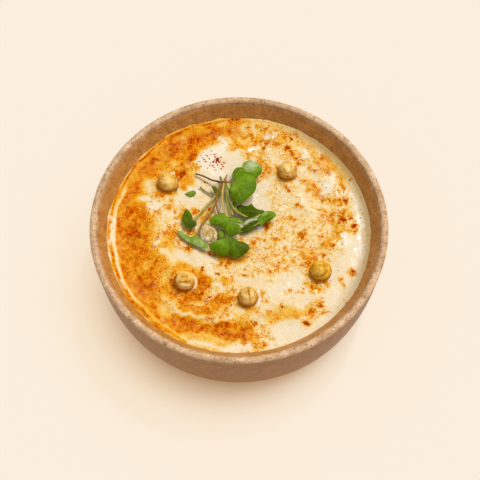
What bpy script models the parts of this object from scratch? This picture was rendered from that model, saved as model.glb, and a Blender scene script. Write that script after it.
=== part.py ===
"""Hummus in a thick-walled brown bowl, with whole chickpeas and a bunch of microgreens on top.

Metres, +Z up. The origin is on the ground under the middle of the bowl, and -Y is the front.
"""

import math

import bmesh
import bpy
from mathutils import Euler, Matrix, Vector
from mathutils.kdtree import KDTree

MM = 0.001
TAU = 2 * math.pi
GAP = 0.3 * MM  # left between pieces that touch

# Bowl
RIM_RADIUS = 75 * MM
BOWL_HEIGHT = 50 * MM
BASE_RADIUS = 62.4 * MM
LIP_WIDTH = 3.6 * MM
LIP_DEPTH = 2.8 * MM  # height of the rounded lip above the wall
LIP_OVERHANG = 0.7 * MM  # how far the lip stands out past the wall under it
FLARE_RADIUS = 64.9 * MM  # inside radius where the flared mouth meets the bowl's inner curve
FLARE_DEPTH = 10.5 * MM
FLOOR_RADIUS = 46 * MM
FLOOR_THICKNESS = 6 * MM
BOWL_SEGMENTS = 64
CURVE_STEPS = 6
LIP_STEPS = 3

# Hummus
LEVEL_DEPTH = 8.6 * MM  # from the rim down to the hummus along the wall
TOP_RINGS = 17
RING_CROWDING = 0.75  # below 1 the rings crowd towards the wall
SIDE_RINGS = 4
HUMMUS_SEGMENTS = 56
FADE_DEGREES = 16  # a stroke rises and dies away over this much of a turn
# Spoon strokes: first and last angle, first and last radius, height, half width (degrees and mm)
STROKES = (
    (80, 288, 60, 56, -1.6, 5.0),  # the long outer channel that the oil lies in
    (105, 262, 65, 65, 0.9, 1.8),  # the thin ridge against the wall
    (222, 300, 54, 46, 1.2, 2.6),  # crest inside the channel, at the front
    (222, 268, 46, 40, -1.0, 2.4),
    (150, 222, 44, 40, 0.9, 4.0),
    (-60, 35, 56, 53, 0.9, 3.2),
    (-20, 75, 44, 52, -0.8, 3.0),
    (20, 110, 36, 44, 0.8, 4.0),
    (120, 260, 24, 30, 0.7, 3.5),
    (-90, 20, 24, 34, 0.6, 4.0),
)
RIPPLE_HEIGHT = 0.25 * MM
RIPPLE_LENGTH = 17 * MM
RIPPLE_SLANT = 0.5

# Chickpeas: x, y, height of the middle above the hummus, across, tall, beak's heading and rise
CHICKPEAS = (
    (-36.7, 26.8, 2.2, 10.5, 9.6, -28, 6),
    (25.2, 33.6, 2.3, 10.2, 9.4, -94, 38),
    (-27.1, -28.9, 1.6, 10.4, 9.2, 130, 42),
    (4.8, -37.4, 2.2, 10.0, 9.4, -80, 24),
    (40.9, -23.4, 2.3, 10.8, 9.8, 150, 18),
    (-15.4, -3.2, 0.9, 9.6, 9.2, 100, 0),
)
CHICKPEA_SUBDIVISIONS = 3
BEAK_LENGTH = 0.12  # share of the radius
BEAK_SPREAD = 0.32  # radians
GROOVE_DEPTH = 0.06
GROOVE_WIDTH = 0.20

# Microgreens: x, y, height above the hummus, length, width, heading of the tip, rise of the tip
LEAVES = (
    (6.7, 33.3, 5.8, 11.4, 8.8, 145, -5),
    (0.5, 30.7, 5.4, 9.2, 7.8, -159, -2),
    (2.0, 21.2, 7.5, 19.7, 13.2, 74, 0),
    (5.5, 9.0, 5.1, 15.4, 8.8, 172, -4),
    (13.5, 5.5, 5.5, 10.5, 6.4, -151, -6),
    (5.8, 0.6, 3.8, 11.6, 4.8, -157, -11),
    (-6.5, 1.0, 6.5, 17.5, 9.4, 146, -2),
    (-1.5, 3.4, 5.3, 7.7, 4.0, 165, 6),
    (-4.8, -11.0, 5.0, 20.4, 10.7, 177, 1),
    (-23.0, -5.6, 3.0, 18.8, 6.5, 148, -5),
    (-25.7, 5.4, 3.6, 11.5, 6.8, 110, 0),
    (-12.0, 20.8, 4.0, 7.4, 3.4, 121, -5),
)
HUB = (-7.8, 25.0, 4.2)  # where the stems come together
LOOSE_STEMS = ((-21.8, 32.2, 2.2), (-19.4, 24.8, 2.2))  # ends of stems that carry no leaf
LEAF_THICKNESS = 2.2 * MM
STEM_RADIUS = 1.3 * MM
STEM_STEPS = 20
STEM_SAG = 1.5 * MM
BLOB_SUBDIVISIONS = 3
REMESH_SIZE = 0.7 * MM
KEPT_SHARE = 0.08  # of the remeshed bunch's triangles
BUNCH_MIN_THICKNESS = 0.8 * MM
BUNCH_GAP = 0.45 * MM  # left between the bunch and what it lies on
BUNCH_REACH = 1.5 * MM  # how far round a point the bunch keeps clear of the chickpeas

MATERIALS = {  # colour, roughness
    "bowl_brown": ((0.36, 0.21, 0.11), 0.55),
    "hummus_cream": ((0.85, 0.66, 0.38), 0.45),
    "chickpea_tan": ((0.62, 0.36, 0.12), 0.40),
    "leaf_green": ((0.09, 0.24, 0.03), 0.45),
}


def clear_scene():
    for thing in list(bpy.data.objects):
        bpy.data.objects.remove(thing)


def make_materials():
    made = {}
    for name, (colour, roughness) in MATERIALS.items():
        material = bpy.data.materials.new(name)
        material.use_nodes = True
        shader = material.node_tree.nodes["Principled BSDF"]
        shader.inputs["Base Color"].default_value = (*colour, 1)
        shader.inputs["Roughness"].default_value = roughness
        made[name] = material
    return made


def add_object(name, mesh, material):
    made = bpy.data.objects.new(name, mesh)
    mesh.materials.clear()
    mesh.materials.append(material)
    mesh.shade_smooth()
    bpy.context.scene.collection.objects.link(made)
    return made


def loft(name, rings):
    """A closed mesh through rings of points, top to bottom. A ring of one point is a pole."""
    bm = bmesh.new()
    rows = [[bm.verts.new(point) for point in ring] for ring in rings]
    for upper, lower in zip(rows, rows[1:]):
        count = max(len(upper), len(lower))
        for i in range(count):
            j = (i + 1) % count
            left = [upper[i % len(upper)], lower[i % len(lower)]]
            right = [lower[j % len(lower)], upper[j % len(upper)]]
            bm.faces.new(list(dict.fromkeys(left + right)))
    bmesh.ops.triangulate(bm, faces=bm.faces[:])
    bmesh.ops.recalc_face_normals(bm, faces=bm.faces[:])
    mesh = bpy.data.meshes.new(name)
    bm.to_mesh(mesh)
    bm.free()
    return mesh


def ring_at(radius, height, segments):
    if radius == 0:
        return [(0, 0, height)]
    turns = (TAU * i / segments for i in range(segments))
    return [(radius * math.cos(turn), radius * math.sin(turn), height) for turn in turns]


def quarter_curve(low, high, steps):
    """Points on a quarter of an ellipse, flat at its low end and upright at its high end."""
    points = []
    for i in range(steps + 1):
        turn = math.pi / 2 * i / steps
        radius = low[0] + (high[0] - low[0]) * math.sin(turn)
        height = low[1] + (high[1] - low[1]) * (1 - math.cos(turn))
        points.append((radius, height))
    return points


def inner_curve(steps):
    """The inside of the bowl from the edge of its floor up to its flared mouth."""
    return quarter_curve((FLOOR_RADIUS, FLOOR_THICKNESS), (FLARE_RADIUS, BOWL_HEIGHT - FLARE_DEPTH), steps)


def inner_radius(height):
    """Inside radius of the bowl at a height above its floor."""
    lip_inside = RIM_RADIUS - LIP_WIDTH
    mouth = BOWL_HEIGHT - LIP_DEPTH / 2
    bend = BOWL_HEIGHT - FLARE_DEPTH
    if height >= bend:
        return FLARE_RADIUS + (lip_inside - FLARE_RADIUS) * (height - bend) / (mouth - bend)
    share = (height - FLOOR_THICKNESS) / (bend - FLOOR_THICKNESS)
    return FLOOR_RADIUS + (FLARE_RADIUS - FLOOR_RADIUS) * math.sin(math.acos(1 - share))


def bowl_profile():
    """Radius and height from the middle of the floor, over the lip and down to the middle of the base."""
    points = [(0, FLOOR_THICKNESS), *inner_curve(CURVE_STEPS)]
    middle = RIM_RADIUS - LIP_WIDTH / 2
    for i in range(2 * LIP_STEPS + 1):
        turn = math.pi * (1 - i / (2 * LIP_STEPS))
        rise = LIP_DEPTH / 2 * math.sin(turn)
        points.append((middle + LIP_WIDTH / 2 * math.cos(turn), BOWL_HEIGHT - LIP_DEPTH / 2 + rise))
    wall_top = (RIM_RADIUS - LIP_OVERHANG, BOWL_HEIGHT - LIP_DEPTH)
    points += reversed(quarter_curve((BASE_RADIUS, 0), wall_top, CURVE_STEPS))
    points.append((0, 0))
    return points


def stroke_height(stroke, angle, radius):
    """Height in mm that one spoon stroke adds at an angle in degrees and a radius in mm."""
    first, last, first_radius, last_radius, height, half_width = stroke
    along = (angle - first) % 360
    length = last - first
    if along > length:
        return 0
    ends = min(1, along / FADE_DEGREES, (length - along) / FADE_DEGREES)
    fade = ends * ends * (3 - 2 * ends)
    middle = first_radius + (last_radius - first_radius) * along / length
    return height * fade * math.exp(-(((radius - middle) / half_width) ** 2))


def relief(x, y):
    """Height of the hummus above its level at the wall."""
    angle = math.degrees(math.atan2(y, x))
    radius = math.hypot(x, y) / MM
    strokes = sum(stroke_height(stroke, angle, radius) for stroke in STROKES)
    wave = TAU / RIPPLE_LENGTH
    ripples = math.sin(wave * (x + RIPPLE_SLANT * y)) * math.cos(wave * (y - RIPPLE_SLANT * x))
    return strokes * MM + RIPPLE_HEIGHT * ripples


def surface(x, y):
    return BOWL_HEIGHT - LEVEL_DEPTH + relief(x, y)


def hummus_rings():
    """Rings over the rippled top, then down the inside of the bowl to its floor."""
    turns = [TAU * i / HUMMUS_SEGMENTS for i in range(HUMMUS_SEGMENTS)]
    edge = []
    for turn in turns:
        level_radius = inner_radius(BOWL_HEIGHT - LEVEL_DEPTH)
        height = surface(level_radius * math.cos(turn), level_radius * math.sin(turn))
        edge.append((inner_radius(height) - GAP, height))
    rings = [[(0, 0, surface(0, 0))]]
    for step in range(1, TOP_RINGS):
        ring = []
        for turn, (edge_radius, _) in zip(turns, edge):
            radius = edge_radius * (step / TOP_RINGS) ** RING_CROWDING
            x = radius * math.cos(turn)
            y = radius * math.sin(turn)
            ring.append((x, y, surface(x, y)))
        rings.append(ring)
    rings.append([(r * math.cos(turn), r * math.sin(turn), z) for turn, (r, z) in zip(turns, edge)])
    for radius, height in reversed(inner_curve(SIDE_RINGS)):
        rings.append(ring_at(radius - GAP, height + GAP, HUMMUS_SEGMENTS))
    rings.append([(0, 0, FLOOR_THICKNESS + GAP)])
    return rings


def chickpea_mesh(name, growth):
    """A round seed of radius 1 with its beak at +X and a groove along its back, grown by a share."""
    bm = bmesh.new()
    bmesh.ops.create_icosphere(bm, subdivisions=CHICKPEA_SUBDIVISIONS, radius=1)
    for vertex in bm.verts:
        direction = vertex.co.normalized()
        from_beak = math.acos(max(-1, min(1, direction.x)))
        beak = BEAK_LENGTH * math.exp(-((from_beak / BEAK_SPREAD) ** 2))
        groove = GROOVE_DEPTH * math.exp(-((direction.y / GROOVE_WIDTH) ** 2)) * (1 + direction.z) / 2
        vertex.co = direction * (1 + beak - groove) * (1 + growth)
    mesh = bpy.data.meshes.new(name)
    bm.to_mesh(mesh)
    bm.free()
    return mesh


def place_chickpea(thing, spec):
    x, y, height, across, tall, heading, rise = spec
    spot = Vector((x * MM, y * MM, BOWL_HEIGHT - LEVEL_DEPTH + height * MM))
    turned = Euler((0, -math.radians(rise), math.radians(heading))).to_matrix().to_4x4()
    size = Matrix.Diagonal((across / 2 * MM, across / 2 * MM, tall / 2 * MM, 1))
    thing.matrix_world = Matrix.Translation(spot) @ size @ turned


def cut_socket(hummus, cutter):
    cutter.hide_render = True
    cutter.display_type = "WIRE"
    cut = hummus.modifiers.new(cutter.name, "BOOLEAN")
    cut.operation = "DIFFERENCE"
    cut.solver = "EXACT"
    cut.object = cutter


def add_blob(bm, centre, size, turned):
    """Adds a flattened ball to the bunch."""
    placed = Matrix.Translation(centre) @ turned @ Matrix.Diagonal((*size, 1))
    bmesh.ops.create_icosphere(bm, subdivisions=BLOB_SUBDIVISIONS, radius=1, matrix=placed)


def add_stem(bm, start, end):
    """Adds a sagging row of overlapping balls from one point to another."""
    for i in range(STEM_STEPS + 1):
        share = i / STEM_STEPS
        point = start.lerp(end, share)
        point.z -= STEM_SAG * math.sin(math.pi * share)
        point.z = max(point.z, surface(point.x, point.y) + STEM_RADIUS + GAP)
        add_blob(bm, point, (STEM_RADIUS,) * 3, Matrix.Identity(4))


def over_hummus(x, y, height):
    return Vector((x * MM, y * MM, surface(x * MM, y * MM) + height * MM))


def bunch_mesh(clear_height):
    """Leaves and stems grown into one closed body that stays above clear_height(x, y)."""
    bm = bmesh.new()
    hub = over_hummus(*HUB)
    for x, y, height, length, width, heading, rise in LEAVES:
        centre = over_hummus(x, y, height)
        turned = Euler((0, -math.radians(rise), math.radians(heading))).to_matrix().to_4x4()
        add_blob(bm, centre, (length / 2 * MM, width / 2 * MM, LEAF_THICKNESS / 2), turned)
        add_stem(bm, hub, centre)
    for end in LOOSE_STEMS:
        add_stem(bm, hub, over_hummus(*end))
    rough = bpy.data.meshes.new("bunch_rough")
    bm.to_mesh(rough)
    bm.free()
    holder = bpy.data.objects.new("bunch_rough", rough)
    bpy.context.scene.collection.objects.link(holder)
    remesh = holder.modifiers.new("one_body", "REMESH")
    remesh.mode = "VOXEL"
    remesh.voxel_size = REMESH_SIZE
    thin = holder.modifiers.new("fewer_faces", "DECIMATE")
    thin.ratio = KEPT_SHARE
    whole = bpy.data.meshes.new_from_object(holder.evaluated_get(bpy.context.evaluated_depsgraph_get()))
    bpy.data.objects.remove(holder)
    for vertex in whole.vertices:
        lowest = clear_height(vertex.co.x, vertex.co.y)
        if vertex.normal.z > 0:
            lowest += BUNCH_MIN_THICKNESS
        vertex.co.z = max(vertex.co.z, lowest)
    return whole


def clearance_over(chickpeas):
    """A function that gives the height just above the hummus and the chickpeas at any place."""
    bpy.context.view_layer.update()
    points = [thing.matrix_world @ vertex.co for thing in chickpeas for vertex in thing.data.vertices]
    tree = KDTree(len(points))
    for i, point in enumerate(points):
        tree.insert((point.x, point.y, 0), i)
    tree.balance()

    def clear_height(x, y):
        near = [points[i].z for _, i, _ in tree.find_range((x, y, 0), BUNCH_REACH)]
        return max([surface(x, y), *near]) + BUNCH_GAP

    return clear_height


def main():
    clear_scene()
    materials = make_materials()
    profile = bowl_profile()
    bowl = loft("bowl", [ring_at(r, z, BOWL_SEGMENTS) for r, z in profile])
    add_object("bowl", bowl, materials["bowl_brown"])
    hummus = add_object("hummus", loft("hummus", hummus_rings()), materials["hummus_cream"])
    chickpeas = []
    for number, spec in enumerate(CHICKPEAS, start=1):
        name = f"chickpea_{number}"
        chickpea = add_object(name, chickpea_mesh(name, 0), materials["chickpea_tan"])
        place_chickpea(chickpea, spec)
        chickpeas.append(chickpea)
        growth = GAP / (spec[4] / 2 * MM)
        cutter = add_object(f"{name}_socket", chickpea_mesh(name, growth), materials["chickpea_tan"])
        place_chickpea(cutter, spec)
        cut_socket(hummus, cutter)
    bunch = bunch_mesh(clearance_over(chickpeas))
    add_object("microgreens", bunch, materials["leaf_green"])


main()
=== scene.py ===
import math

import bmesh
import bpy
import numpy as np
from mathutils import Matrix, Vector


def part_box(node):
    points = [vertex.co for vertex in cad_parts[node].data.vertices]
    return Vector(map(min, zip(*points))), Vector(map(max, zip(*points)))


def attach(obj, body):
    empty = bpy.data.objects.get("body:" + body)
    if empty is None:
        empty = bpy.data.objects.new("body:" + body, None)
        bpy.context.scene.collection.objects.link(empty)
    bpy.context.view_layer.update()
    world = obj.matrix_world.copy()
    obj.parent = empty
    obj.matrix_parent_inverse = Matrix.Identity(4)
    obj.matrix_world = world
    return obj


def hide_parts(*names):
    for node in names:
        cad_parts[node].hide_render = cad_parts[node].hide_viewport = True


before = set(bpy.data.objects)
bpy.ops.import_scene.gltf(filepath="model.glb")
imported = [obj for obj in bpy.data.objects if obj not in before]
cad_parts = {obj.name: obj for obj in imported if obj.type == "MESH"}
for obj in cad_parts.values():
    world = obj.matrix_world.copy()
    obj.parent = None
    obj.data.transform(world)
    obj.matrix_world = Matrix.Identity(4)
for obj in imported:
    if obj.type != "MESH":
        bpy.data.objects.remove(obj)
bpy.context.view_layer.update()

# Hummus with paprika oil in a brown bowl. Sizes in the dictionaries are in mm, the mesh is in metres.
mm = 0.001
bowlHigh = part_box("bowl")[1]
rimRadius = bowlHigh.x / mm
rimTop = bowlHigh.z / mm


# An input takes a plain value, another socket, or a node, which stands for its first output
def feed(tree, node, inputs):
    for name, value in inputs.items():
        if isinstance(value, bpy.types.Node):
            value = value.outputs[0]
        socket = node.inputs[name]
        if isinstance(value, bpy.types.NodeSocket):
            tree.links.new(value, socket)
        elif socket.type == "RGBA":
            socket.default_value = (*value, 1)
        else:
            socket.default_value = value


def addNode(tree, kind, inputs=None, **settings):
    made = tree.nodes.new(kind)
    for name, value in settings.items():
        setattr(made, name, value)
    feed(tree, made, inputs or {})
    return made


def calculate(tree, operation, first, second=0.0, clamp=False):
    return addNode(tree, "ShaderNodeMath", {0: first, 1: second}, operation=operation, use_clamp=clamp)


def times(tree, first, second, clamp=False):
    return calculate(tree, "MULTIPLY", first, second, clamp)


def plus(tree, first, second, clamp=False):
    return calculate(tree, "ADD", first, second, clamp)


def minus(tree, first, second):
    return calculate(tree, "SUBTRACT", first, second)


def calculateVector(tree, operation, first, second, output="Vector"):
    inputs = {0: first, "Scale" if operation == "SCALE" else 1: second}
    return addNode(tree, "ShaderNodeVectorMath", inputs, operation=operation).outputs[output]


def splitVector(tree, vector):
    return addNode(tree, "ShaderNodeSeparateXYZ", {0: vector}).outputs


def remap(tree, value, low, high, toLow=0.0, toHigh=1.0):
    return addNode(tree, "ShaderNodeMapRange", {"Value": value, "From Min": low, "From Max": high,
        "To Min": toLow, "To Max": toHigh})


def mixColours(tree, amount, first, second):
    made = addNode(tree, "ShaderNodeMix", data_type="RGBA")
    feed(tree, made, {0: amount, 6: first, 7: second})
    return made.outputs[2]


def colourRamp(tree, value, stops):
    made = addNode(tree, "ShaderNodeValToRGB", {"Fac": value})
    ramp = made.color_ramp
    while len(ramp.elements) < len(stops):
        ramp.elements.new(1)
    for element, (place, colour) in zip(ramp.elements, stops):
        element.position = place
        element.color = (*colour, 1)
    return made


def newMaterial(name, inputs):
    made = bpy.data.materials.new(name)
    made.use_nodes = True
    shader = made.node_tree.nodes["Principled BSDF"]
    feed(made.node_tree, shader, inputs)
    return made, made.node_tree, shader


def objectCoordinates(tree):
    return addNode(tree, "ShaderNodeTexCoord").outputs["Object"]


def noiseAt(tree, coordinates, scale, detail=2.0, roughness=0.5):
    return addNode(tree, "ShaderNodeTexNoise", {"Vector": coordinates, "Scale": scale, "Detail": detail,
        "Roughness": roughness})


def attribute(tree, name):
    return addNode(tree, "ShaderNodeAttribute", attribute_name=name).outputs["Fac"]


def bump(tree, height, strength, distance):
    return addNode(tree, "ShaderNodeBump", {"Height": height, "Strength": strength, "Distance": distance})


def addPiece(name, mesh, material):
    made = bpy.data.objects.new(name, mesh)
    bpy.context.scene.collection.objects.link(made)
    if material:
        mesh.materials.clear()
        mesh.materials.append(material)
    return made


def meshFrom(name, points, faces):
    made = bpy.data.meshes.new(name)
    made.from_pydata([tuple(p) for p in points], [], [tuple(f) for f in faces])
    made.update()
    made.shade_smooth()
    return made


def storeValues(mesh, name, values):
    made = mesh.attributes.new(name, "FLOAT", "POINT")
    made.data.foreach_set("value", np.asarray(values, np.float32))


def smoothStep(value, low, high):
    t = np.clip((value - low) / (high - low), 0, 1)
    return t * t * (3 - 2 * t)


# Smooth random hills between -1 and 1, the same on every run
def hills(x, y, size, seed, z=0.0):
    count = 32  # cells before the hills come round again
    table = np.random.default_rng(seed).uniform(-1, 1, (count, count, count))
    places = [np.asarray(v, float) / size for v in (x, y, z)]
    cells = [np.floor(v).astype(int) for v in places]
    blends = [v - c for v, c in zip(places, cells)]
    blends = [f * f * (3 - 2 * f) for f in blends]
    total = 0
    for corner in range(8):
        steps = [corner >> axis & 1 for axis in range(3)]
        weight = 1
        for step, blend in zip(steps, blends):
            weight = weight * (blend if step else 1 - blend)
        total = total + weight * table[tuple((c + step) % count for c, step in zip(cells, steps))]
    return total


# The plan moved by random hills, given as reach and size, so that what is drawn on it meanders
def wandered(x, y, swings, seed):
    moved = []
    for line in (x, y):
        for reach, size in swings:
            line = line + reach * hills(x, y, size, seed)
            seed += 1
        moved.append(line)
    return moved


def ballPoints(detail):
    mesh = bpy.data.meshes.new("ball")
    shape = bmesh.new()
    bmesh.ops.create_icosphere(shape, subdivisions=detail, radius=1)
    shape.to_mesh(mesh)
    shape.free()
    return mesh, np.array([vertex.co for vertex in mesh.vertices])


def newGroup(name, kind, inputs, outputs):
    tree = bpy.data.node_groups.new(name, kind)
    for direction, sockets in (("INPUT", inputs), ("OUTPUT", outputs)):
        for label, valueKind in sockets.items():
            tree.interface.new_socket(label, in_out=direction, socket_type="NodeSocket" + valueKind)
    return tree, addNode(tree, "NodeGroupInput").outputs


def newTree(name, inputs):
    return newGroup(name, "GeometryNodeTree", {"Geometry": "Geometry", **inputs}, {"Geometry": "Geometry"})


# Every tree ends by realizing its instances and setting the piece's material
def finishTree(tree, geometry, material):
    realized = addNode(tree, "GeometryNodeRealizeInstances", {0: geometry})
    finished = addNode(tree, "GeometryNodeSetMaterial", {0: realized, "Material": material})
    addNode(tree, "NodeGroupOutput", {"Geometry": finished})
    return tree


# Runs a tree on a mesh, or on a single point, and keeps the plain mesh that comes out
def runTree(name, tree, values, mesh=None):
    holder = addPiece(name, mesh or meshFrom(name + " start", [(0, 0, 0)], []), None)
    modifier = holder.modifiers.new(tree.name, "NODES")
    modifier.node_group = tree
    sockets = {item.name: item.identifier for item in tree.interface.items_tree if item.in_out == "INPUT"}
    for label, value in values.items():
        modifier[sockets[label]] = value
    graph = bpy.context.evaluated_depsgraph_get()
    made = bpy.data.meshes.new_from_object(holder.evaluated_get(graph))
    made.name = name
    for slot in reversed(range(len(made.materials))):
        if not made.materials[slot]:
            made.materials.pop(index=slot)
    bpy.data.objects.remove(holder)
    return made


print("camera, floor and lights")

view = {
    "distance": 700,
    "elevation": 63.65,
    "lens": 105.3,
    "sensorWidth": 36,
    "targetX": 0.5,
    "targetY": -9.4,
}
light = {
    "keyStrength": 2.0,
    "keyAzimuth": 26,
    "keyElevation": 65,
    "keyAngle": 30,
    "glintStrength": 0.9,
    "glintAzimuth": 60,
    "glintElevation": 62,
    "glintAngle": 5,
    "skyStrength": 0.42,
    "floorColour": (0.80, 0.70, 0.585),
    "glowCentre": (-3, -8),
    "glowFrom": 58,
    "glowTo": 82,
    "glowStrength": 1.21,
    "floorGlow": ((0.0, (0.32, 0.20, 0.08)), (0.25, (0.55, 0.42, 0.28)), (0.46, (0.70, 0.60, 0.46)),
                  (0.67, (0.83, 0.74, 0.61)), (1.0, (0.92, 0.87, 0.74))),
    "floorHalf": 3000,
    "floorDrop": 0.2,
}


def makeCamera():
    lens = bpy.data.cameras.new("camera")
    lens.lens = view["lens"]
    lens.sensor_width = view["sensorWidth"]
    made = bpy.data.objects.new("camera", lens)
    target = Vector((view["targetX"], view["targetY"], rimTop)) * mm
    lift = math.radians(view["elevation"])
    back = Vector((0, -math.cos(lift), math.sin(lift)))
    made.location = target + back * view["distance"] * mm
    made.rotation_euler = back.to_track_quat("Z", "Y").to_euler()
    bpy.context.scene.collection.objects.link(made)
    bpy.context.scene.camera = made


def addSun(name, strength, azimuth, elevation, angle):
    sun = bpy.data.lights.new(name, "SUN")
    sun.energy = strength
    sun.angle = math.radians(angle)
    made = bpy.data.objects.new(name, sun)
    turn, lift = math.radians(azimuth), math.radians(elevation)
    towards = Vector((math.cos(turn) * math.cos(lift), math.sin(turn) * math.cos(lift), math.sin(lift)))
    made.rotation_euler = towards.to_track_quat("Z", "Y").to_euler()
    bpy.context.scene.collection.objects.link(made)
    return made


def makeLights():
    for name in ("key", "glint"):
        made = addSun(name, *(light[name + part] for part in ("Strength", "Azimuth", "Elevation", "Angle")))
        made.visible_glossy = name == "glint"
    world = bpy.data.worlds.new("soft sky")
    world.use_nodes = True
    sky = world.node_tree.nodes["Background"]
    sky.inputs["Color"].default_value = (1, 1, 1, 1)
    sky.inputs["Strength"].default_value = light["skyStrength"]
    world.cycles_visibility.glossy = False
    bpy.context.scene.world = world
    bpy.context.scene.view_settings.view_transform = "Standard"


# The floor glows a little, less close to the bowl, so that its shadow stays soft and warm
def makeFloor():
    material, tree, shader = newMaterial("pale floor", {
        "Roughness": 0.9, "Specular IOR Level": 0.0, "Emission Strength": light["glowStrength"]})
    centre = tuple(value * mm for value in light["glowCentre"]) + (0,)
    away = calculateVector(tree, "DISTANCE", objectCoordinates(tree), centre, "Value")
    share = remap(tree, away, light["glowFrom"] * mm, light["glowTo"] * mm)
    glow = colourRamp(tree, share, light["floorGlow"])
    rest = calculateVector(tree, "SUBTRACT", (1, 1, 1), glow)
    feed(tree, shader, {"Base Color": calculateVector(tree, "MULTIPLY", light["floorColour"], rest),
        "Emission Color": calculateVector(tree, "MULTIPLY", light["floorColour"], glow)})
    half, drop = light["floorHalf"] * mm, light["floorDrop"] * mm
    corners = [(-half, -half, -drop), (half, -half, -drop), (half, half, -drop), (-half, half, -drop)]
    addPiece("floor", meshFrom("floor", corners, [(0, 1, 2, 3)]), material)


makeCamera()
makeLights()
makeFloor()

print("bowl")

bowl = {
    "baseRadius": 62.4,
    "lipWidth": 3.6,
    "lipDepth": 2.8,
    "lipOverhang": 0.7,
    "flareRadius": 64.9,
    "flareDepth": 10.5,
    "floorRadius": 46.0,
    "floorThickness": 6.0,
    "turnSteps": 256,
    "mergeDistance": 0.01,
    "curveSteps": 22,
    "flareSteps": 9,
    "lipSteps": 14,
    "unevenness": 0.12,
    "unevenSize": 9.0,
    "evenBase": 2.0,
    # the lip is painted lighter between these heights, a painted highlight on the rolled rim
    "lipHighlightFrom": 47.2,
    "lipHighlightTo": 49.2,
    # mottle: patch scale, speck scale and speck share; noise: scale, detail and roughness
    "mottle": (230.0, 1000.0, 0.19),
    "fibres": (850.0, 3.0, 0.7),
    "outside": ((0.34, (0.27, 0.10, 0.017)), (0.50, (0.36, 0.145, 0.03)), (0.66, (0.46, 0.205, 0.053))),
    "inside": ((0.34, (0.35, 0.13, 0.022)), (0.50, (0.47, 0.20, 0.042)), (0.66, (0.60, 0.285, 0.075))),
    "lip": ((0.36, (0.35, 0.185, 0.08)), (0.46, (0.53, 0.315, 0.16)), (0.56, (0.65, 0.42, 0.24)),
            (0.66, (0.82, 0.59, 0.39))),
    "speckColour": (0.13, 0.06, 0.025),
}


def quarterCurve(low, high, steps):
    turns = np.linspace(0, math.pi / 2, steps + 1)
    return [(low[0] + (high[0] - low[0]) * math.sin(t), low[1] + (high[1] - low[1]) * (1 - math.cos(t)))
            for t in turns]


def innerRadius(height):
    lipInside = rimRadius - bowl["lipWidth"]
    mouth = rimTop - bowl["lipDepth"] / 2
    bend = rimTop - bowl["flareDepth"]
    flare = bowl["flareRadius"] + (lipInside - bowl["flareRadius"]) * (height - bend) / (mouth - bend)
    share = np.clip((height - bowl["floorThickness"]) / (bend - bowl["floorThickness"]), 0, 1)
    curve = bowl["floorRadius"] + (bowl["flareRadius"] - bowl["floorRadius"]) * np.sin(np.arccos(1 - share))
    return np.where(height >= bend, flare, curve)


def bowlProfile():
    points = [(0, bowl["floorThickness"])]
    points += quarterCurve((bowl["floorRadius"], bowl["floorThickness"]),
                           (bowl["flareRadius"], rimTop - bowl["flareDepth"]), bowl["curveSteps"])
    lipInside = rimRadius - bowl["lipWidth"]
    for share in np.linspace(0, 1, bowl["flareSteps"] + 1)[1:-1]:
        height = rimTop - bowl["flareDepth"] + share * (bowl["flareDepth"] - bowl["lipDepth"] / 2)
        points.append((float(innerRadius(np.array(height))), height))
    middle = lipInside + bowl["lipWidth"] / 2
    for turn in np.linspace(math.pi, 0, 2 * bowl["lipSteps"] + 1):
        points.append((middle + bowl["lipWidth"] / 2 * math.cos(turn),
                       rimTop - bowl["lipDepth"] / 2 * (1 - math.sin(turn))))
    wallTop = (rimRadius - bowl["lipOverhang"], rimTop - bowl["lipDepth"])
    points += reversed(quarterCurve((bowl["baseRadius"], 0), wallTop, bowl["curveSteps"]))
    points.append((0, 0))
    return points


# The profile is carried round a circle of half the rim's radius, then merged at the two poles
def turningTree():
    tree, given = newTree("turned wall", {"Profile": "Object", "Circle Radius": "Float", "Steps": "Int",
        "Unevenness": "Float", "Uneven Size": "Float", "Even Base": "Float", "Material": "Material"})
    outline = addNode(tree, "GeometryNodeObjectInfo", {"Object": given["Profile"]}).outputs["Geometry"]
    profile = addNode(tree, "GeometryNodeMeshToCurve", {"Mesh": outline})
    circle = addNode(tree, "GeometryNodeCurvePrimitiveCircle", {"Resolution": given["Steps"],
        "Radius": given["Circle Radius"]})
    turned = addNode(tree, "GeometryNodeCurveToMesh", {"Curve": circle, "Profile Curve": profile})
    merged = addNode(tree, "GeometryNodeMergeByDistance", {"Geometry": turned,
        "Distance": bowl["mergeDistance"] * mm})
    frequency = calculate(tree, "DIVIDE", 1.0, given["Uneven Size"])
    lumps = addNode(tree, "ShaderNodeTexNoise", {"Scale": frequency, "Detail": 2.0})
    amount = times(tree, minus(tree, lumps, 0.5), given["Unevenness"])
    shift = calculateVector(tree, "SCALE", addNode(tree, "GeometryNodeInputNormal"), amount)
    height = splitVector(tree, addNode(tree, "GeometryNodeInputPosition"))["Z"]
    moved = addNode(tree, "GeometryNodeSetPosition", {"Geometry": merged,
        "Selection": calculate(tree, "GREATER_THAN", height, given["Even Base"]), "Offset": shift})
    smooth = addNode(tree, "GeometryNodeSetShadeSmooth", {"Geometry": moved})
    return finishTree(tree, smooth, given["Material"])


# Mottle shared by the bowl and the chickpeas: soft patches and fine dark specks
def speckGroup():
    tree, given = newGroup("mottle and specks", "ShaderNodeTree",
        {"Patch Scale": "Float", "Speck Scale": "Float", "Speck Share": "Float"},
        {"Patches": "Float", "Specks": "Float"})
    where = objectCoordinates(tree)
    patches = noiseAt(tree, where, given["Patch Scale"], 4.0, 0.6)
    grains = noiseAt(tree, where, given["Speck Scale"], 2.0, 0.65)
    threshold = minus(tree, 0.78, given["Speck Share"])
    specks = times(tree, minus(tree, grains, threshold), 14.0, clamp=True)
    addNode(tree, "NodeGroupOutput", {"Patches": patches, "Specks": specks})
    return tree


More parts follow.
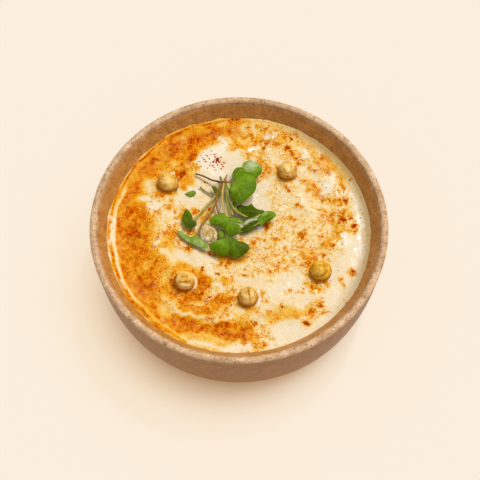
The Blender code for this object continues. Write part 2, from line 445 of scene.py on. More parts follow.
mottle = speckGroup()


def addMottle(tree, patchScale, speckScale, speckShare):
    made = addNode(tree, "ShaderNodeGroup", node_tree=mottle)
    feed(tree, made, {"Patch Scale": patchScale, "Speck Scale": speckScale, "Speck Share": speckShare})
    return made.outputs["Patches"], made.outputs["Specks"]


def bowlMaterial():
    material, tree, shader = newMaterial("kraft brown", {"Specular IOR Level": 0.25})
    where = objectCoordinates(tree)
    patches, specks = addMottle(tree, *bowl["mottle"])
    fibres = noiseAt(tree, where, *bowl["fibres"])
    tone = plus(tree, times(tree, patches, 0.55), times(tree, fibres, 0.45))
    outside, inside, lip = (colourRamp(tree, tone, bowl[part]) for part in ("outside", "inside", "lip"))
    normal = addNode(tree, "ShaderNodeNewGeometry").outputs["Normal"]
    facing = calculateVector(tree, "DOT_PRODUCT", normal, where, "Value")
    wall = mixColours(tree, remap(tree, facing, 4 * mm, -4 * mm), outside, inside)
    height = splitVector(tree, where)["Z"]
    # the lip's lighter colour is a painted highlight
    lipHighlightShare = remap(tree, height, bowl["lipHighlightFrom"] * mm, bowl["lipHighlightTo"] * mm)
    colour = mixColours(tree, lipHighlightShare, wall, lip)
    colour = mixColours(tree, times(tree, specks, 0.7), colour, bowl["speckColour"])
    feed(tree, shader, {"Base Color": colour, "Roughness": remap(tree, fibres, 0.3, 0.7, 0.34, 0.50),
        "Normal": bump(tree, tone, 0.5, 0.4 * mm)})
    return material


def makeBowl():
    points = bowlProfile()
    circleRadius = rimRadius / 2
    outline = bpy.data.meshes.new("bowl outline")
    outline.from_pydata([((r - circleRadius) * mm, -z * mm, 0) for r, z in points],
        [(i, i + 1) for i in range(len(points) - 1)], [])
    outlineHolder = addPiece("bowl outline", outline, None)
    mesh = runTree("bowlShell", turningTree(), {"Profile": outlineHolder, "Circle Radius": circleRadius * mm,
        "Steps": bowl["turnSteps"], "Unevenness": bowl["unevenness"] * mm, "Material": bowlMaterial(),
        "Uneven Size": bowl["unevenSize"] * mm, "Even Base": bowl["evenBase"] * mm})
    bpy.data.objects.remove(outlineHolder)
    piece = addPiece("bowlShell", mesh, None)
    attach(piece, "root")
    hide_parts("bowl")


makeBowl()

print("hummus")

hummus = {
    "level": 41.4,
    "gridSteps": 288,
    "intoWall": 0.3,
    "edgeBlend": 2.0,
    "skirtSteps": 6,
    "skirtIntoWall": 0.1,
    "aboveFloor": 0.3,
    "strokeFade": 16,
    "lumps": ((9.0, 0.22), (4.2, 0.13), (2.1, 0.06), (1.1, 0.03)),
    "meniscus": 0.5,
    "meniscusWidth": 0.7,
    "nestRise": 0.45,
    "nestWidth": 0.9,
    "nestGap": 0.4,
    # the ring of each chickpea's nest: x, y, radius and how brightly the painted highlight on the wet line
    # at its right shines
    "nests": ((-36.7, 26.8, 5.2, 0.2), (25.2, 33.6, 5.1, 0.3), (-27.1, -28.9, 5.2, 0.75),
              (4.8, -37.4, 5.0, 0.95), (40.9, -23.4, 5.4, 0.95)),
    "highlightLineWidth": 0.38,
    "highlightLineAt": 0.5,
    "lightTurn": 0.1,
    "highlightSide": (0.45, 0.85),
    # the dark ring on the side of each nest away from the light: partly oil, partly painted shade
    "oilShadeRing": 0.62,
    "oilShadeRingWidth": 0.7,
    "oilShadeRingAt": 0.3,
    "shadeSide": (-0.1, 0.6),
    # random hills that the surface and the colours wander by: reach and size
    "heightWander": ((1.6, 9), (0.6, 3.5)),
    "strokeWander": ((2.0, 7), (1.1, 3), (0.6, 1.4)),
    "leastWander": 0.25,
    "calmRadii": (58, 63),
    "softInside": 0.25,
    "spotWander": ((1.1, 2.6), (0.7, 1.2)),
    "oilUneven": ((0.14, 6), (0.10, 2.5)),
    "thinnestDust": 0.22,
    "dustRound": 0.8,
    "dustRoundEdge": (0.8, 2.6),
    "spotEdge": (0.3, 1.3),
    # the painted shadow of the wall on the hummus at the right, under the lip: radii and angles between
    # which it comes and goes
    "dimRadii": (60.5, 63.5, 63, 65.5),
    "dimTurns": (-60, -12, 45, 85),
    "dimFirstShare": 0.55,
}

# Spoon strokes as arcs round the middle: first and last angle, first and last radius, height, half width
spoonStrokes = (
    (80, 288, 58, 56, -.7, 6), (105, 262, 65, 65, .8, 1.1), (222, 300, 54, 46, .8, 2.2),
    (222, 268, 46, 40, -.6, 2.4), (150, 222, 44, 40, .5, 4), (-60, 35, 56, 53, .4, 3.2),
    (-20, 75, 44, 52, -.3, 3), (20, 110, 36, 44, .4, 4), (120, 260, 24, 30, .4, 3.5),
    (-90, 20, 24, 34, .3, 4),
)
# Where the oil lies: how deep its colour is, how soft its edge, then points as x, y and half width
oilStrokes = (
    (.66, 8, ((2, 62, 2), (-10, 60, 3), (-22, 55, 5), (-31, 48, 7), (-40, 41, 6), (-48, 33, 4),
        (-52, 26, 4), (-55, 18, 5), (-54, 8, 6), (-52, -3, 7), (-51, -13, 7), (-48, -23, 8), (-45, -32, 6),
        (-43, -41, 2.5), (-39, -47, 2.5))),
    (.78, 4, ((-15, 58, 1.5), (-24, 54, 2.5), (-33, 49, 3), (-38, 44, 2))),
    (.76, 4, ((-26, 50, 2), (-24, 43, 2), (-29, 39, 1))),
    (.75, 5, ((-56, 15, 1), (-54, 5, 2), (-53, -5, 2.8), (-53, -13, 2.5), (-51, -20, 1.5),
        (-47, -27, 1.5))),
    (.78, 2.4, ((-40, -45, 1), (-34, -48.5, 2), (-28, -51, 3), (-20, -52, 3), (-13, -53, 2.8),
        (-5, -55, 3.8), (1, -55.5, 3.8), (5, -54, 2.5))),
    (.55, 6, ((2, -55, 2.5), (5, -59, 3), (4, -64, 2))),
    (.4, 6, ((-36, -52, 2), (-28, -57, 3), (-18, -60, 3), (-6, -62, 3))),
    (.55, 4, ((-12, 60, 1), (-5, 55, 1), (1, 52, 2.5), (8, 53, 2))),
    (.5, 4, ((-34, -1, 1), (-37, -6, 1.5), (-36, -14, 2), (-32, -20, 3), (-26, -21, 2), (-20, -23, 1))),
    (.45, 4, ((-9, -13, 2), (-4, -16, 2.5), (2, -15, 1))),
    (.48, 3, ((-26, 10, 1), (-20, 9, 1.5), (-14, 8, 1))), (.45, 3, ((-6, -28, 2), (-8, -33, 2))),
    (.42, 4, ((2, -42, 2), (1, -48, 3))), (.36, 4, ((16, -47, 2), (24, -46, 2), (33, -46, 2))),
    (.64, 2.2, ((-28, -41, 1.2), (-21, -44.5, 1.2), (-15, -42.5, 1.8), (-9, -40, 2.6), (-4, -39, 1.8))),
    (.72, 3, ((-19, -23, 1.4), (-18.5, -30, 2.4), (-20, -36, 2.4), (-26, -38, 2))),
    (.55, 6, ((-45, -30, 3), (-36, -34, 3), (-30, -36, 2))),
    (.42, 6, ((-38, -20, 3), (-34, -24, 3), (-33, -34, 3))),
    (.28, 7, ((0, 62, 3), (20, 58, 3), (34, 50, 3), (46, 42, 3), (54, 32, 2))),
    (.55, 6, ((-36, 36, 4), (-28, 33, 3), (-28, 26, 1.5))),
    (.5, 4, ((-46, 34, 2), (-44, 27, 2), (-42, 20, 2), (-37, 19.5, 2))),
    (.66, 2, ((-10.5, 59.6, 2), (-30.2, 52.4, 2.8), (-46.3, 38.9, 2.8), (-57.1, 20.8, 2.4),
        (-60.3, 5.3, 2.2), (-59.6, -10.5, 2), (-55, -25.6, 2.4), (-46.6, -39.2, 2.8), (-37, -49.8, 3),
        (-30, -54.8, 2.6), (-24, -58.4, 1))),
    (.74, .9, ((0, 66, .5), (-22.4, 62, .5), (-38.8, 53.4, .5), (-53.4, 38.8, .5), (-62.6, 20.4, .5),
        (-66, 0, .5), (-62.6, -20.4, .7), (-53.6, -38.8, 1), (-39, -53.4, .9), (-26, -60.5, .4))),
    (.5, 1.6, ((-51, -36.8, .6), (-44, -45, .8), (-36, -51.4, .7))),
    (.45, 2.5, ((5, -43, .8), (2, -49, 1))), (.42, 3.5, ((12, 58, 1), (22, 54, 1.5), (28, 48, 1.5))),
    (.45, 3.5, ((38, 26, 1), (43, 20, 1.5), (50, 17, 1))),
    (.42, 3.5, ((44, 44, 1), (50, 36, 1), (54, 28, .6))),
    (.42, 3.5, ((48, 8, 1), (51, -2, 1.5), (44, -8, 1.2))),
    (.45, 3.5, ((33, -14, 1), (37, -18, 1.5), (36, -27, 1.5))),
)
# Where the paprika is dusted: how thick, how soft its edge, then points as before
dustStrokes = (
    (.66, 12, ((-12, 62, 2), (15, 58, 6), (32, 46, 7), (44, 32, 7), (48, 12, 7), (42, -8, 7), (30, -16, 7),
        (14, -14, 8))),
    (.5, 12, ((10, 30, 5), (24, 14, 10), (16, -4, 10))),
    (.85, 9, ((-36, 34, 5), (-46, 18, 2), (-44, 0, 4), (-42, -20, 5), (-34, -34, 6), (-22, -34, 6),
        (-10, -42, 6), (2, -46, 3))),
    (.55, 7, ((-34, 2, 3), (-28, -8, 3), (-14, -18, 3), (0, -22, 5), (8, -20, 4))),
    (.6, 7, ((-12, -30, 4), (-4, -34, 4), (8, -48, 3))), (.75, 7, ((6, -50, 3), (9, -58, 4), (6, -63, 3))),
    (.55, 7, ((-34, -56, 2), (-20, -60, 3), (-4, -63, 3))), (.45, 6, ((14, -48, 3), (27, -46, 3))),
    (.95, 4, ((5, 55, 1.5), (16, 53, 2), (25, 56, 2))), (.9, 4, ((11, 41, 2.5), (14, 34, 3))),
    (.9, 4, ((36, 26, 1), (43, 20, 2))), (.85, 4, ((45, 42, 2), (40, 36, 1), (48, 36, 2))),
    (.85, 4, ((44, 12, 2), (50, 6, 3), (49, -2, 2), (43, -8, 2))),
    (.9, 4, ((33, -16, 1), (37, -18, 2), (38, -28, 2))),
)
# Cream left clear, or nearly so
clearPatches = (
    (1, 2.4, ((-10, 50, 1.5), (-8, 53, 1), (-12, 44, 5), (-16, 40, 5), (-14, 34, 3), (-10, 34, 3))),
    (.9, 3, ((-3, 46, 3), (-4, 38, 4), (-4, 33, 3))), (.8, 5, ((-46, 26, 1.5), (-43, 22, 1))),
    (.9, 2, ((-43, 16, 2.4), (-43, 12, 2))), (.7, 6, ((-32, 19, 1), (-24, 16, 2), (-20, 13, 1))),
    (.8, 4, ((-29, -13, 1), (-24, -15, 2), (-17, -17, 1.5), (-13, -23, 1))),
    (.7, 4, ((-36, 8, 1.5), (-34, 14, 1))), (.9, 6, ((18, -33, 2), (28, -29, 3), (46, -33, 3))),
    (1, 5, ((18, -57, 3), (28, -54, 3), (40, -48, 1), (48, -36, 1))),
    (.9, 5, ((56, -30, 2), (60, -12, 3), (60, 4, 1))), (.9, 5, ((11, 25, 3), (10, 17, 3))),
    (.4, 4, ((24, 20, 2), (28, 12, 1))), (.6, 4, ((50, -16, 2), (50, -24, 2))),
    (.6, 2.5, ((-24, -61, .6), (-14, -62, 1))),
    (.75, .8, ((-58.6, 24, .2), (-62.4, 12, .3), (-63.8, 0, .4), (-61, -19, .4), (-57.6, -28, .3))),
    (.45, .8, ((-57.6, -28, .3), (-52, -37, .3), (-38, -51.4, .2), (-26, -59, .2))),
    (.75, .8, ((-24, -60, .3), (-8, -64, .6))), (.9, 3, ((-49.5, 19.4, 1.6), (-46, 18.5, 1.2))),
    (.7, 2.4, ((3, 61, 1.2), (6, 60, 1.4))), (.7, 2.6, ((-1, -45, 1.2), (1.5, -44.5, 1.4))),
    (.6, 2.6, ((-39.5, -41.5, 1.4), (-36, -47, 1.2))), (.6, 2.4, ((46.5, 19.5, 1.2), (44, 15.5, .8))),
    (.7, 2.4, ((-39.5, 19.4, 1.6), (-37, 18.5, 1))),
    (.6, 2.4, ((35, 39.2, 1.4), (36.5, 31, 1), (41.5, 29.7, 1.6))),
    (.8, 2.6, ((-33, -16.5, 1.4), (-37, -11, 1.4))), (.5, 2, ((53, 26.5, 1), (50, 27.5, .8))),
    (.5, 2.4, ((-35.5, 38.5, 1.4), (-39, 35.5, 1.2))), (.5, 2.4, ((24, 50.4, 1.2), (31, 49, 1.4))),
    (.5, 2.4, ((-27, -57.4, .8), (-24, -58.4, .8))), (.4, 2.4, ((-47, -17.5, 1.2), (-45, -19, 1))),
    (.4, 2.4, ((-43, 4, 1.2), (-42, 6, 1))), (.5, 2.4, ((1.5, 53.8, 1.2), (-1, 55, .8))),
    (.5, 2, ((-10.5, 62.6, .8), (-7, 63.4, .6))),
)


# Clots of spice and oil, and a few spots of painted shade beside the leaves and a chickpea: x, y, radius and
# depth of colour
spiceAndShadeSpots = (
    (6, 56, 2.2, .75), (3, 55, 1.5, .55), (10, 54, 2, .55), (15, 53.5, 2.4, .6), (20, 51.5, 2.6, .6),
    (24, 55.5, 2.6, .65), (27.5, 54, 1.2, .9), (30, 57, 1.5, .5), (9.5, 62, 1, .7), (5, 61, 1.5, .4),
    (14, 60, 1.2, .5), (20, 59, 1.5, .45), (25.5, 48.5, 2.2, .75), (28, 45.5, 2.2, .8),
    (29.5, 42.5, 1.8, .7), (31, 40, 1.3, .95), (33, 45, 1, .4), (12.5, 48.5, 1.2, .95), (8, 50, .9, .9),
    (12, 41, 2, .55), (14, 37, 2.4, .6), (15.5, 34, 2, .6), (12.5, 31.5, 1.5, .5), (10.5, 29, 1.2, .5),
    (39, 34.8, 1.2, .95), (36.5, 36, .9, .6), (46, 33.8, 2.2, .7), (46.6, 32.6, 1, .95), (43, 42, 1.8, .7),
    (46, 40, 1.5, .6), (50, 36.5, 1.6, .6), (48, 38, 1.2, .5), (41, 45, 1, .5), (52, 31, 1.4, .6),
    (53, 27, 1.2, .6), (51, 23, 1.2, .6), (57.3, 29.2, .6, .9), (54, 25, 1, .6), (25.5, 23, 1.3, .95),
    (24, 25, 1, .6), (33, 29, 1.8, .5), (29, 31, 1.5, .6), (27, 29, 1.4, .5), (36, 24, 2, .6),
    (39, 26, 2, .55), (42, 23, 2.4, .65), (43.5, 19.5, 2, .8), (42.7, 17.2, 1.2, .95), (46, 17.5, 1.4, .75),
    (49, 17, 1.5, .7), (52, 17.4, 1.6, .8), (55, 17.3, 1.8, .95), (54, 20, 1.2, .7), (40, 20, 1.4, .5),
    (30.5, 15, 1.6, .7), (33, 14, 1, .5), (44, 12, 1.5, .6), (47, 10, 1.6, .65), (48.5, 6, 1.5, .6),
    (50, 2, 1.6, .6), (50, -1.5, 1.6, .6), (49.5, -5, 1.6, .65), (47, -7.5, 1.6, .75), (42, -7.8, 1.4, .9),
    (44, -10, 1.2, .6), (43.3, -13.8, 1.3, .75), (52.5, 10.5, 1.8, .85), (52.6, 6.8, 2.6, 1),
    (51, 4.5, 1.6, .85), (57, 7.4, 1.1, .9), (58, 3, 1.7, .95), (58.5, -.5, 1.2, .75), (56, .5, 1, .6),
    (54.5, 12, 1, .7), (26, 8, 1.6, .65), (28, 6.5, 1.1, .6), (14.2, 2.6, 2.2, .85), (16, 4.5, 1.5, .6),
    (13, 5, 1.5, .5), (19, -5, 1.6, .5), (13, -6, 1.4, .75), (16, -9, 1.4, .6), (32.5, -2.3, 2.2, .85),
    (30.5, -3.5, 1.2, .7), (22, -16, 1.5, .6), (27, -17, 1.3, .5), (24, -11, 1.5, .45), (31, -13, 1.3, .5),
    (35, -16.5, 2.2, .6), (38.5, -15.5, 2, .65), (34.5, -20, 1.5, .6), (37, -12.5, 1.5, .45),
    (37, -31, 2.4, .75), (40, -32.5, 1.6, .6), (34, -29.5, 1.4, .5), (44, -30, 1.2, .7),
    (56.5, -23.5, 1.7, .85), (51, -26.5, 1, .7), (51.5, -30.5, .9, .7), (25, -33, 1, .6),
    (31, -34, 1.2, .5), (40, -41.2, 1.8, .85), (35.4, -45, 2.8, .75), (38, -43.5, 1.4, .65),
    (42, -45.5, 1.2, .7), (32.5, -50.5, 1.7, .95), (21.3, -42, .8, .95), (15, -45.5, 1.3, .5),
    (19.5, -48, 1.4, .7), (24, -47, 1.5, .5), (28, -47.5, 1.2, .55), (16, -49, 1.2, .5),
    (8, -51.5, 1.7, .95), (12, -54, 1.2, .55), (14.5, -57.5, 1, .5), (16, -59, .9, .5), (6, -57, 1.5, .75),
    (12, -62, 1.5, .65), (3, -62.5, 1.5, .5), (11, -35, 1.2, .5), (13, -38, 1, .5), (-9, -18.5, 1.4, .8),
    (-6.5, -19.8, 1.2, .9), (-5, -17, 2, .75), (-12, -14, 1.6, .7), (-15, -12, 1.2, .6),
    (1, -15.5, 1.4, .6), (4, -13, 1.4, .6), (7, -7, 1.8, .6), (9, -4.5, 1.5, .6), (6, -10, 1.4, .5),
    (-6, -27, 1.8, .65), (-8.5, -29.5, 1.4, .6), (-10.3, -24.5, .9, .9), (-18.2, -21.3, 1.2, .9),
    (2.4, -25, .8, .9), (15.7, -23, .8, .9), (7, -25.5, 1.2, .5), (19, -22.5, 1.2, .55), (-4, -33, 1.2, .5),
    (-7, -36, 1.8, .5), (-30, 8, 1.8, .6), (-28, 11.5, 1.6, .6), (-22, 10, 1.8, .75), (-20, 10.6, .8, .95),
    (-16.5, 7.5, 2, .8), (-14.5, 12, 1.2, .85), (-16, 10, 1.2, .8), (-32, 3.5, 1.4, .6),
    (-35, 1.5, 1.6, .65), (-36, -1.5, 1.6, .7), (-33, -2.5, 1.4, .6), (-25.5, -1.2, 1.6, .8),
    (-23, -.5, 1.2, .7), (-29, 14, 1, .4), (-36, 14, 1.8, .5), (-35, 17, 1.2, .45), (-33, 11, 1.2, .4),
    (-30, -6, 1.2, .4), (-29.6, 33.6, 2.8, 1.1), (-30.6, 29.6, 1.9, 1.1), (-28, 37, 2, .6),
    (-26.5, 33, 1.6, .6), (-42, 21, 2.2, .7), (-39, 20.5, 2, .75), (-36, 21, 1.8, .75), (-33, 22, 1.4, .6),
    (-28.5, 27, 1.4, .6), (-44.5, 42, 1.5, 1), (-2, 66, 1.9, 1), (-33.6, -29.6, 1.6, .95),
    (-36, 38, 2.2, .5), (-40, 37, 2, .55), (-44, -8, 1.3, .7), (-50, -3.5, 1.2, 1), (-42, -18, 2, .7),
    # the spots at (-25.5, -10.2) and (-11.6, -2.4), by the leaves, and at (34.4, -24.4), by a chickpea, are
    # painted shade
    (-23.2, 37.2, 2.2, .6), (3.4, -63.2, 2.4, .4), (-41.6, 10.5, 2.2, .45), (-25.5, -10.2, 1.8, .7),
    (-4, 50, 2.4, .42), (5.4, 44.6, 2.2, .38), (11.7, 45.8, 2.2, .42), (-9.2, 54.8, 2, .42),
    (-14.9, 50, 2.2, .42), (-11.6, -2.4, 1.6, .8), (-19.1, 5.9, 1.8, .6), (34.4, -24.4, 1.6, .6),
    (-7.2, -42.9, 2.4, .5), (-32.4, -.5, 2, .62), (1.2, -4.3, 1.6, .7), (42.3, 20.3, 2, .5),
    (-21.7, -25.5, 2.2, .6), (-34, -27, 1.8, .85), (-29.4, 11.1, 1.6, .6), (19.4, 37, 1.6, .6),
    (-32.4, 32.8, 2, .9), (-22.1, -32.6, 2, .75), (-.6, -36.6, 1.4, .7), (-7.2, -32, 2, .4),
    (55.8, 9.4, 2, .45), (-38, -16, 1.6, .6), (-45, -15, 1.8, .6), (-38, -21, 1.6, .6), (-33, -24, 1.4, .6),
    (-44, -29, 1.6, .75),
)
# Painted highlights, where the glossy hummus shines nearly white, and a broad painted light that lifts the
# shade under the leaves: strokes as before
highlightPatches = (
    (.66, 1.6, ((-9, 54, .8), (-7.5, 50, 1.2), (-11, 47, 2.6), (-16, 42, 4.6), (-15, 37, 3),
        (-10, 33, 1.6))),
    (.66, 1.4, ((-46, 14.5, .8), (-42, 14, 1.4))), (.66, 1.6, ((7, 49, 1), (9, 48.6, .8))),
    (.7, 1.6, ((15, 56, .8), (16, 55.4, .5))), (.8, 2, ((34, 46, .6), (35, 43, .5))),
    (.7, 3, ((48, 31, 1.2), (45, 25, 1.4), (44, 22, .8))), (.8, 1.6, ((53, -1, .5), (55, -7, .8))),
    (.7, 1.6, ((33, 17, .7), (34, 15.4, .5))), (.7, 1.6, ((-24.5, 24, .8), (-21, 22.5, .5))),
    (.8, .6, ((-35, 33, .3), (-34.4, 33.6, .2))), (.8, 1.4, ((-43, -8, .5), (-41, -6, .5))),
    (.6, 1.6, ((-10, -30, .6), (-9, -32.5, .5))), (.7, 2.4, ((5, -63.5, 1), (-6, -64.5, 1))),
    (.7, 1, ((57, 22, .2), (59.5, 17, .4), (60, 12, .2))), (.9, 1, ((61, 9, .3), (62, 3, .5), (61, 0, .3))),
    (.9, .9, ((62, -3, .4), (61.5, -9, .6), (60, -14, .3))), (.8, .9, ((59, -18, .4), (57.5, -21, .3))),
    (.9, .8, ((51.5, -2, .2), (53.5, -4, .5), (54.8, -7.5, .3))), (.8, .8, ((50, -6, .2), (51.5, -9, .4))),
    (.7, .8, ((55.5, 24.5, .2), (53.8, 21, .3))), (.7, .8, ((40.5, 47, .3), (42, 44.5, .4))),
    (.8, .9, ((3, 4.4, .5), (6.4, 5, .7), (8.6, 4.4, .4))), (.8, .8, ((4.6, 14.6, .4), (8.2, 12.6, .5))),
    (1, .6, ((60.4, 14.4, .2), (61, 12, .35), (60.8, 10.4, .2))),
    (1, .5, ((62.6, 5.6, .2), (62.8, 3.4, .3))), (1, .6, ((60, 6.4, .3), (60.6, 4.8, .4))),
    (1, .6, ((61.8, -1.2, .2), (61.4, -4.6, .4), (60.6, -6.4, .2))),
    (1, .5, ((59, -9.6, .2), (58.4, -12.4, .35))), (1, .5, ((62, -10.4, .2), (61.2, -14, .35))),
    (1, .5, ((58.6, 18.4, .3), (58, 20.6, .3))), (1, .5, ((56, -15.6, .2), (56.6, -19, .3))),
    (1, .5, ((51.8, -3, .2), (53.6, -5.6, .35), (54.6, -8.6, .2))),
    (1, .5, ((44.6, 27.2, .3), (45.6, 24.6, .3))), (1, .5, ((49, 22.6, .2), (50.4, 20.2, .3))),
    (1, .5, ((31, 21.4, .2), (32.6, 18.6, .35), (33, 16, .2))), (1, .5, ((36, 12.6, .2), (38.6, 10.4, .3))),
    (1, .5, ((17.6, 56.6, .3), (18.8, 55.4, .3))),
    (1, .5, ((7.4, 49.8, .3), (6.4, 48.4, .4), (8, 47.2, .2))), (1, .5, ((33.6, 47.2, .3), (36, 44.6, .3))),
    (.9, .5, ((8.6, 20.4, .2), (8.8, 17.4, .3), (7, 14.6, .25), (4.2, 12.6, .2))),
    (.9, .5, ((-19, -9.4, .2), (-17.6, -10.6, .3), (-15, -11.2, .2))),
    (.34, 6, ((-9, 20, 3), (0, 8, 5), (-6, -2, 3))), (.95, 1.6, ((-1.6, 9.4, 1.2), (2.2, 7.4, 1))),
    (.95, 1.2, ((8, 3.2, .8), (11, 1.2, .8))), (.6, 1, ((-64.3, 8, .2), (-64.6, 0, .3), (-64, -8, .2))),
    (.6, 1, ((-59, -27, .3), (-56, -32, .3))),
)


# 1 inside a stroke, falling to 0 over its soft edge
def strokeMask(x, y, soft, points):
    outside = np.full(x.shape, np.inf)
    for (ax, ay, aw), (bx, by, bw) in zip(points, points[1:]):
        dx, dy = bx - ax, by - ay
        share = np.clip(((x - ax) * dx + (y - ay) * dy) / (dx * dx + dy * dy), 0, 1)
        away = np.hypot(x - ax - share * dx, y - ay - share * dy)
        outside = np.minimum(outside, away - aw - share * (bw - aw))
    return 1 - smoothStep(outside, -hummus["softInside"] * soft, soft)


def spoonHeight(x, y):
    radius = np.hypot(x, y)
    height = np.zeros(x.shape)
    fade = hummus["strokeFade"]
    for first, last, firstRadius, lastRadius, rise, halfWidth in spoonStrokes:
        turn = (np.degrees(np.arctan2(y, x)) - first + fade) % 360 + first - fade
        share = np.clip((turn - first) / (last - first), 0, 1)
        middle = firstRadius + share * (lastRadius - firstRadius)
        along = smoothStep(turn, first - fade, first) * (1 - smoothStep(turn, last, last + fade))
        height += rise * along * np.exp(-((radius - middle) / halfWidth) ** 2)
    return height


def surfaceHeight(x, y):
    radius = np.hypot(x, y)
    wx, wy = wandered(x, y, hummus["heightWander"], 1)
    height = spoonHeight(wx, wy)
    for order, (size, rise) in enumerate(hummus["lumps"]):
        height += rise * hills(wx, wy, size, 10 + order)
    wall = innerRadius(np.full(1, hummus["level"]))[0]
    height += hummus["meniscus"] * np.exp(-(wall - np.minimum(radius, wall)) / hummus["meniscusWidth"])
    for nestX, nestY, size, shine in hummus["nests"]:
        away = np.hypot(x - nestX, y - nestY) - size + hummus["nestGap"]
        height += hummus["nestRise"] * np.exp(-(away / hummus["nestWidth"]) ** 2)
    return height


# A square grid pressed out to a round one, without a pole in its middle
def discGrid(steps, radius):
    line = np.linspace(-1, 1, steps + 1)
    a, b = np.meshgrid(line, line)
    wide = np.abs(a) > np.abs(b)
    reach = np.where(wide, a, b)
    with np.errstate(divide="ignore", invalid="ignore"):
        turn = np.where(wide, math.pi / 4 * (b / a), math.pi / 2 - math.pi / 4 * (a / b))
    turn = np.nan_to_num(turn)
    return (radius * reach * np.cos(turn)).ravel(), (radius * reach * np.sin(turn)).ravel()


# Numbers of the grid's outermost points, in order round it
def borderLoop(steps):
    n = steps + 1
    right, back = [i * n + n - 1 for i in range(1, n)], [n * n - 1 - i for i in range(1, n)]
    return list(range(n)) + right + back + [(n - 1 - i) * n for i in range(1, n - 1)]


def paintFields(x, y):
    radius, turn = np.hypot(x, y), np.degrees(np.arctan2(y, x))
    wx, wy = wandered(x, y, hummus["strokeWander"], 21)
    nx, ny = wandered(x, y, hummus["spotWander"], 31)
    # strokes keep closer to their line near the wall
    least = hummus["leastWander"]
    keep = least + (1 - least) * (1 - smoothStep(radius, *hummus["calmRadii"]))
    wx, wy = x + (wx - x) * keep, y + (wy - y) * keep
    oil, dust, highlight = np.zeros(x.shape), np.full(x.shape, hummus["thinnestDust"]), np.zeros(x.shape)
    for depth, soft, points in oilStrokes:
        oil = np.maximum(oil, depth * strokeMask(wx, wy, soft, points))
    for depth, soft, points in dustStrokes:
        dust = np.maximum(dust, depth * strokeMask(wx, wy, soft, points))
    uneven = 1
    for seed, (share, size) in enumerate(hummus["oilUneven"], 27):
        uneven = uneven + share * hills(x, y, size, seed)
    oil *= uneven
    for depth, soft, points in clearPatches:
        clear = 1 - depth * strokeMask(wx, wy, soft, points)
        oil, dust = oil * clear, dust * clear
    for spotX, spotY, size, depth in spiceAndShadeSpots:
        away = np.hypot(nx - spotX, ny - spotY) / size
        oil = np.maximum(oil, depth * (1 - smoothStep(away, *hummus["spotEdge"])))
        dust = np.maximum(dust, hummus["dustRound"] * (1 - smoothStep(away, *hummus["dustRoundEdge"])))
    # painted highlights
    for depth, soft, points in highlightPatches:
        highlight = np.maximum(highlight, depth * strokeMask(nx, ny, soft, points))
    # painted shadow of the wall on the hummus near its right edge
    radii, turns, share = hummus["dimRadii"], hummus["dimTurns"], hummus["dimFirstShare"]
    wallShade = share * smoothStep(radius, *radii[:2]) + (1 - share) * smoothStep(radius, *radii[2:])
    wallShade *= smoothStep(turn, *turns[:2]) * (1 - smoothStep(turn, *turns[2:]))
    for nestX, nestY, size, shine in hummus["nests"]:
        away = np.hypot(x - nestX, y - nestY) - size
        side = np.cos(np.arctan2(y - nestY, x - nestX) - hummus["lightTurn"])
        # a painted highlight along the wet line, on the side towards the light
        wet = np.exp(-((away - hummus["highlightLineAt"]) / hummus["highlightLineWidth"]) ** 2)
        highlight = np.maximum(highlight, shine * wet * smoothStep(side, *hummus["highlightSide"]))
        # a dark ring on the side away from the light, partly oil and partly painted shade
        ring = hummus["oilShadeRing"] * np.exp(-((away - hummus["oilShadeRingAt"]) / hummus["oilShadeRingWidth"]) ** 2)
        oil = np.maximum(oil, ring * (1 - smoothStep(side, *hummus["shadeSide"])))
    return {"oil": np.clip(oil, 0, 1), "dust": np.clip(dust, 0, 1), "highlight": highlight, "wallShade": wallShade}


# Specks of ground spice: each cell of a warped pattern holds one speck, larger where the dust is thicker
def speckleGroup():
    tree, given = newGroup("spice specks", "ShaderNodeTree",
        {"Scale": "Float", "Amount": "Float", "Warp": "Float"}, {"Mask": "Float", "Random": "Float"})
    where = objectCoordinates(tree)
    twist = noiseAt(tree, where, 700.0).outputs["Color"]
    centred = calculateVector(tree, "SUBTRACT", twist, (0.5, 0.5, 0.5))
    warped = calculateVector(tree, "ADD", where, calculateVector(tree, "SCALE", centred, given["Warp"]))
    cells = addNode(tree, "ShaderNodeTexVoronoi", {"Vector": warped, "Scale": given["Scale"]}).outputs
    chance = addNode(tree, "ShaderNodeSeparateColor", {"Color": cells["Color"]}).outputs
    room = minus(tree, given["Amount"], chance[0])
    size = times(tree, calculate(tree, "MINIMUM", room, 0.45), 1.5)
    inside = minus(tree, size, cells["Distance"])
    addNode(tree, "NodeGroupOutput", {"Mask": times(tree, inside, 5.0, clamp=True), "Random": chance[1]})
    return tree


def addSpeckle(tree, group, amount, scale, warp):
    made = addNode(tree, "ShaderNodeGroup", node_tree=group)
    feed(tree, made, {"Scale": scale, "Amount": amount, "Warp": warp * mm})
    return made.outputs["Mask"], made.outputs["Random"]


# Noise as scale, detail and roughness, specks as scale and warp, and colours from cream to thick spice
cream = {
    "grains": (1500.0, 3.0, 0.7),
    "clumps": (500.0, 4.0, 0.65),
    "clouds": (170.0, 4.0, 0.6),
    "goldClouds": (260.0, 3.0, 0.6),
    "gleams": (1150.0, 2.0, 0.6),
    "wetPatches": (620.0, 2.0, 0.5),
    "fineSpecks": (1700.0, 0.9),
    "broadSpecks": (1100.0, 1.8),
    "tones": ((0.0, (0.745, 0.605, 0.40)), (0.15, (0.74, 0.525, 0.215)), (0.30, (0.73, 0.425, 0.065)),
              (0.45, (0.715, 0.305, 0.016)), (0.60, (0.66, 0.19, 0.002)), (0.75, (0.54, 0.098, 0.0)),
              (0.88, (0.42, 0.042, 0.0)), (1.0, (0.24, 0.01, 0.0))),
    "gold": (0.76, 0.42, 0.015),
    "gleam": (0.86, 0.77, 0.58),
    "paleHighlight": (0.80, 0.70, 0.53),
    "shine": (0.92, 0.88, 0.80),
    "shade": (0.33, 0.215, 0.085),
}


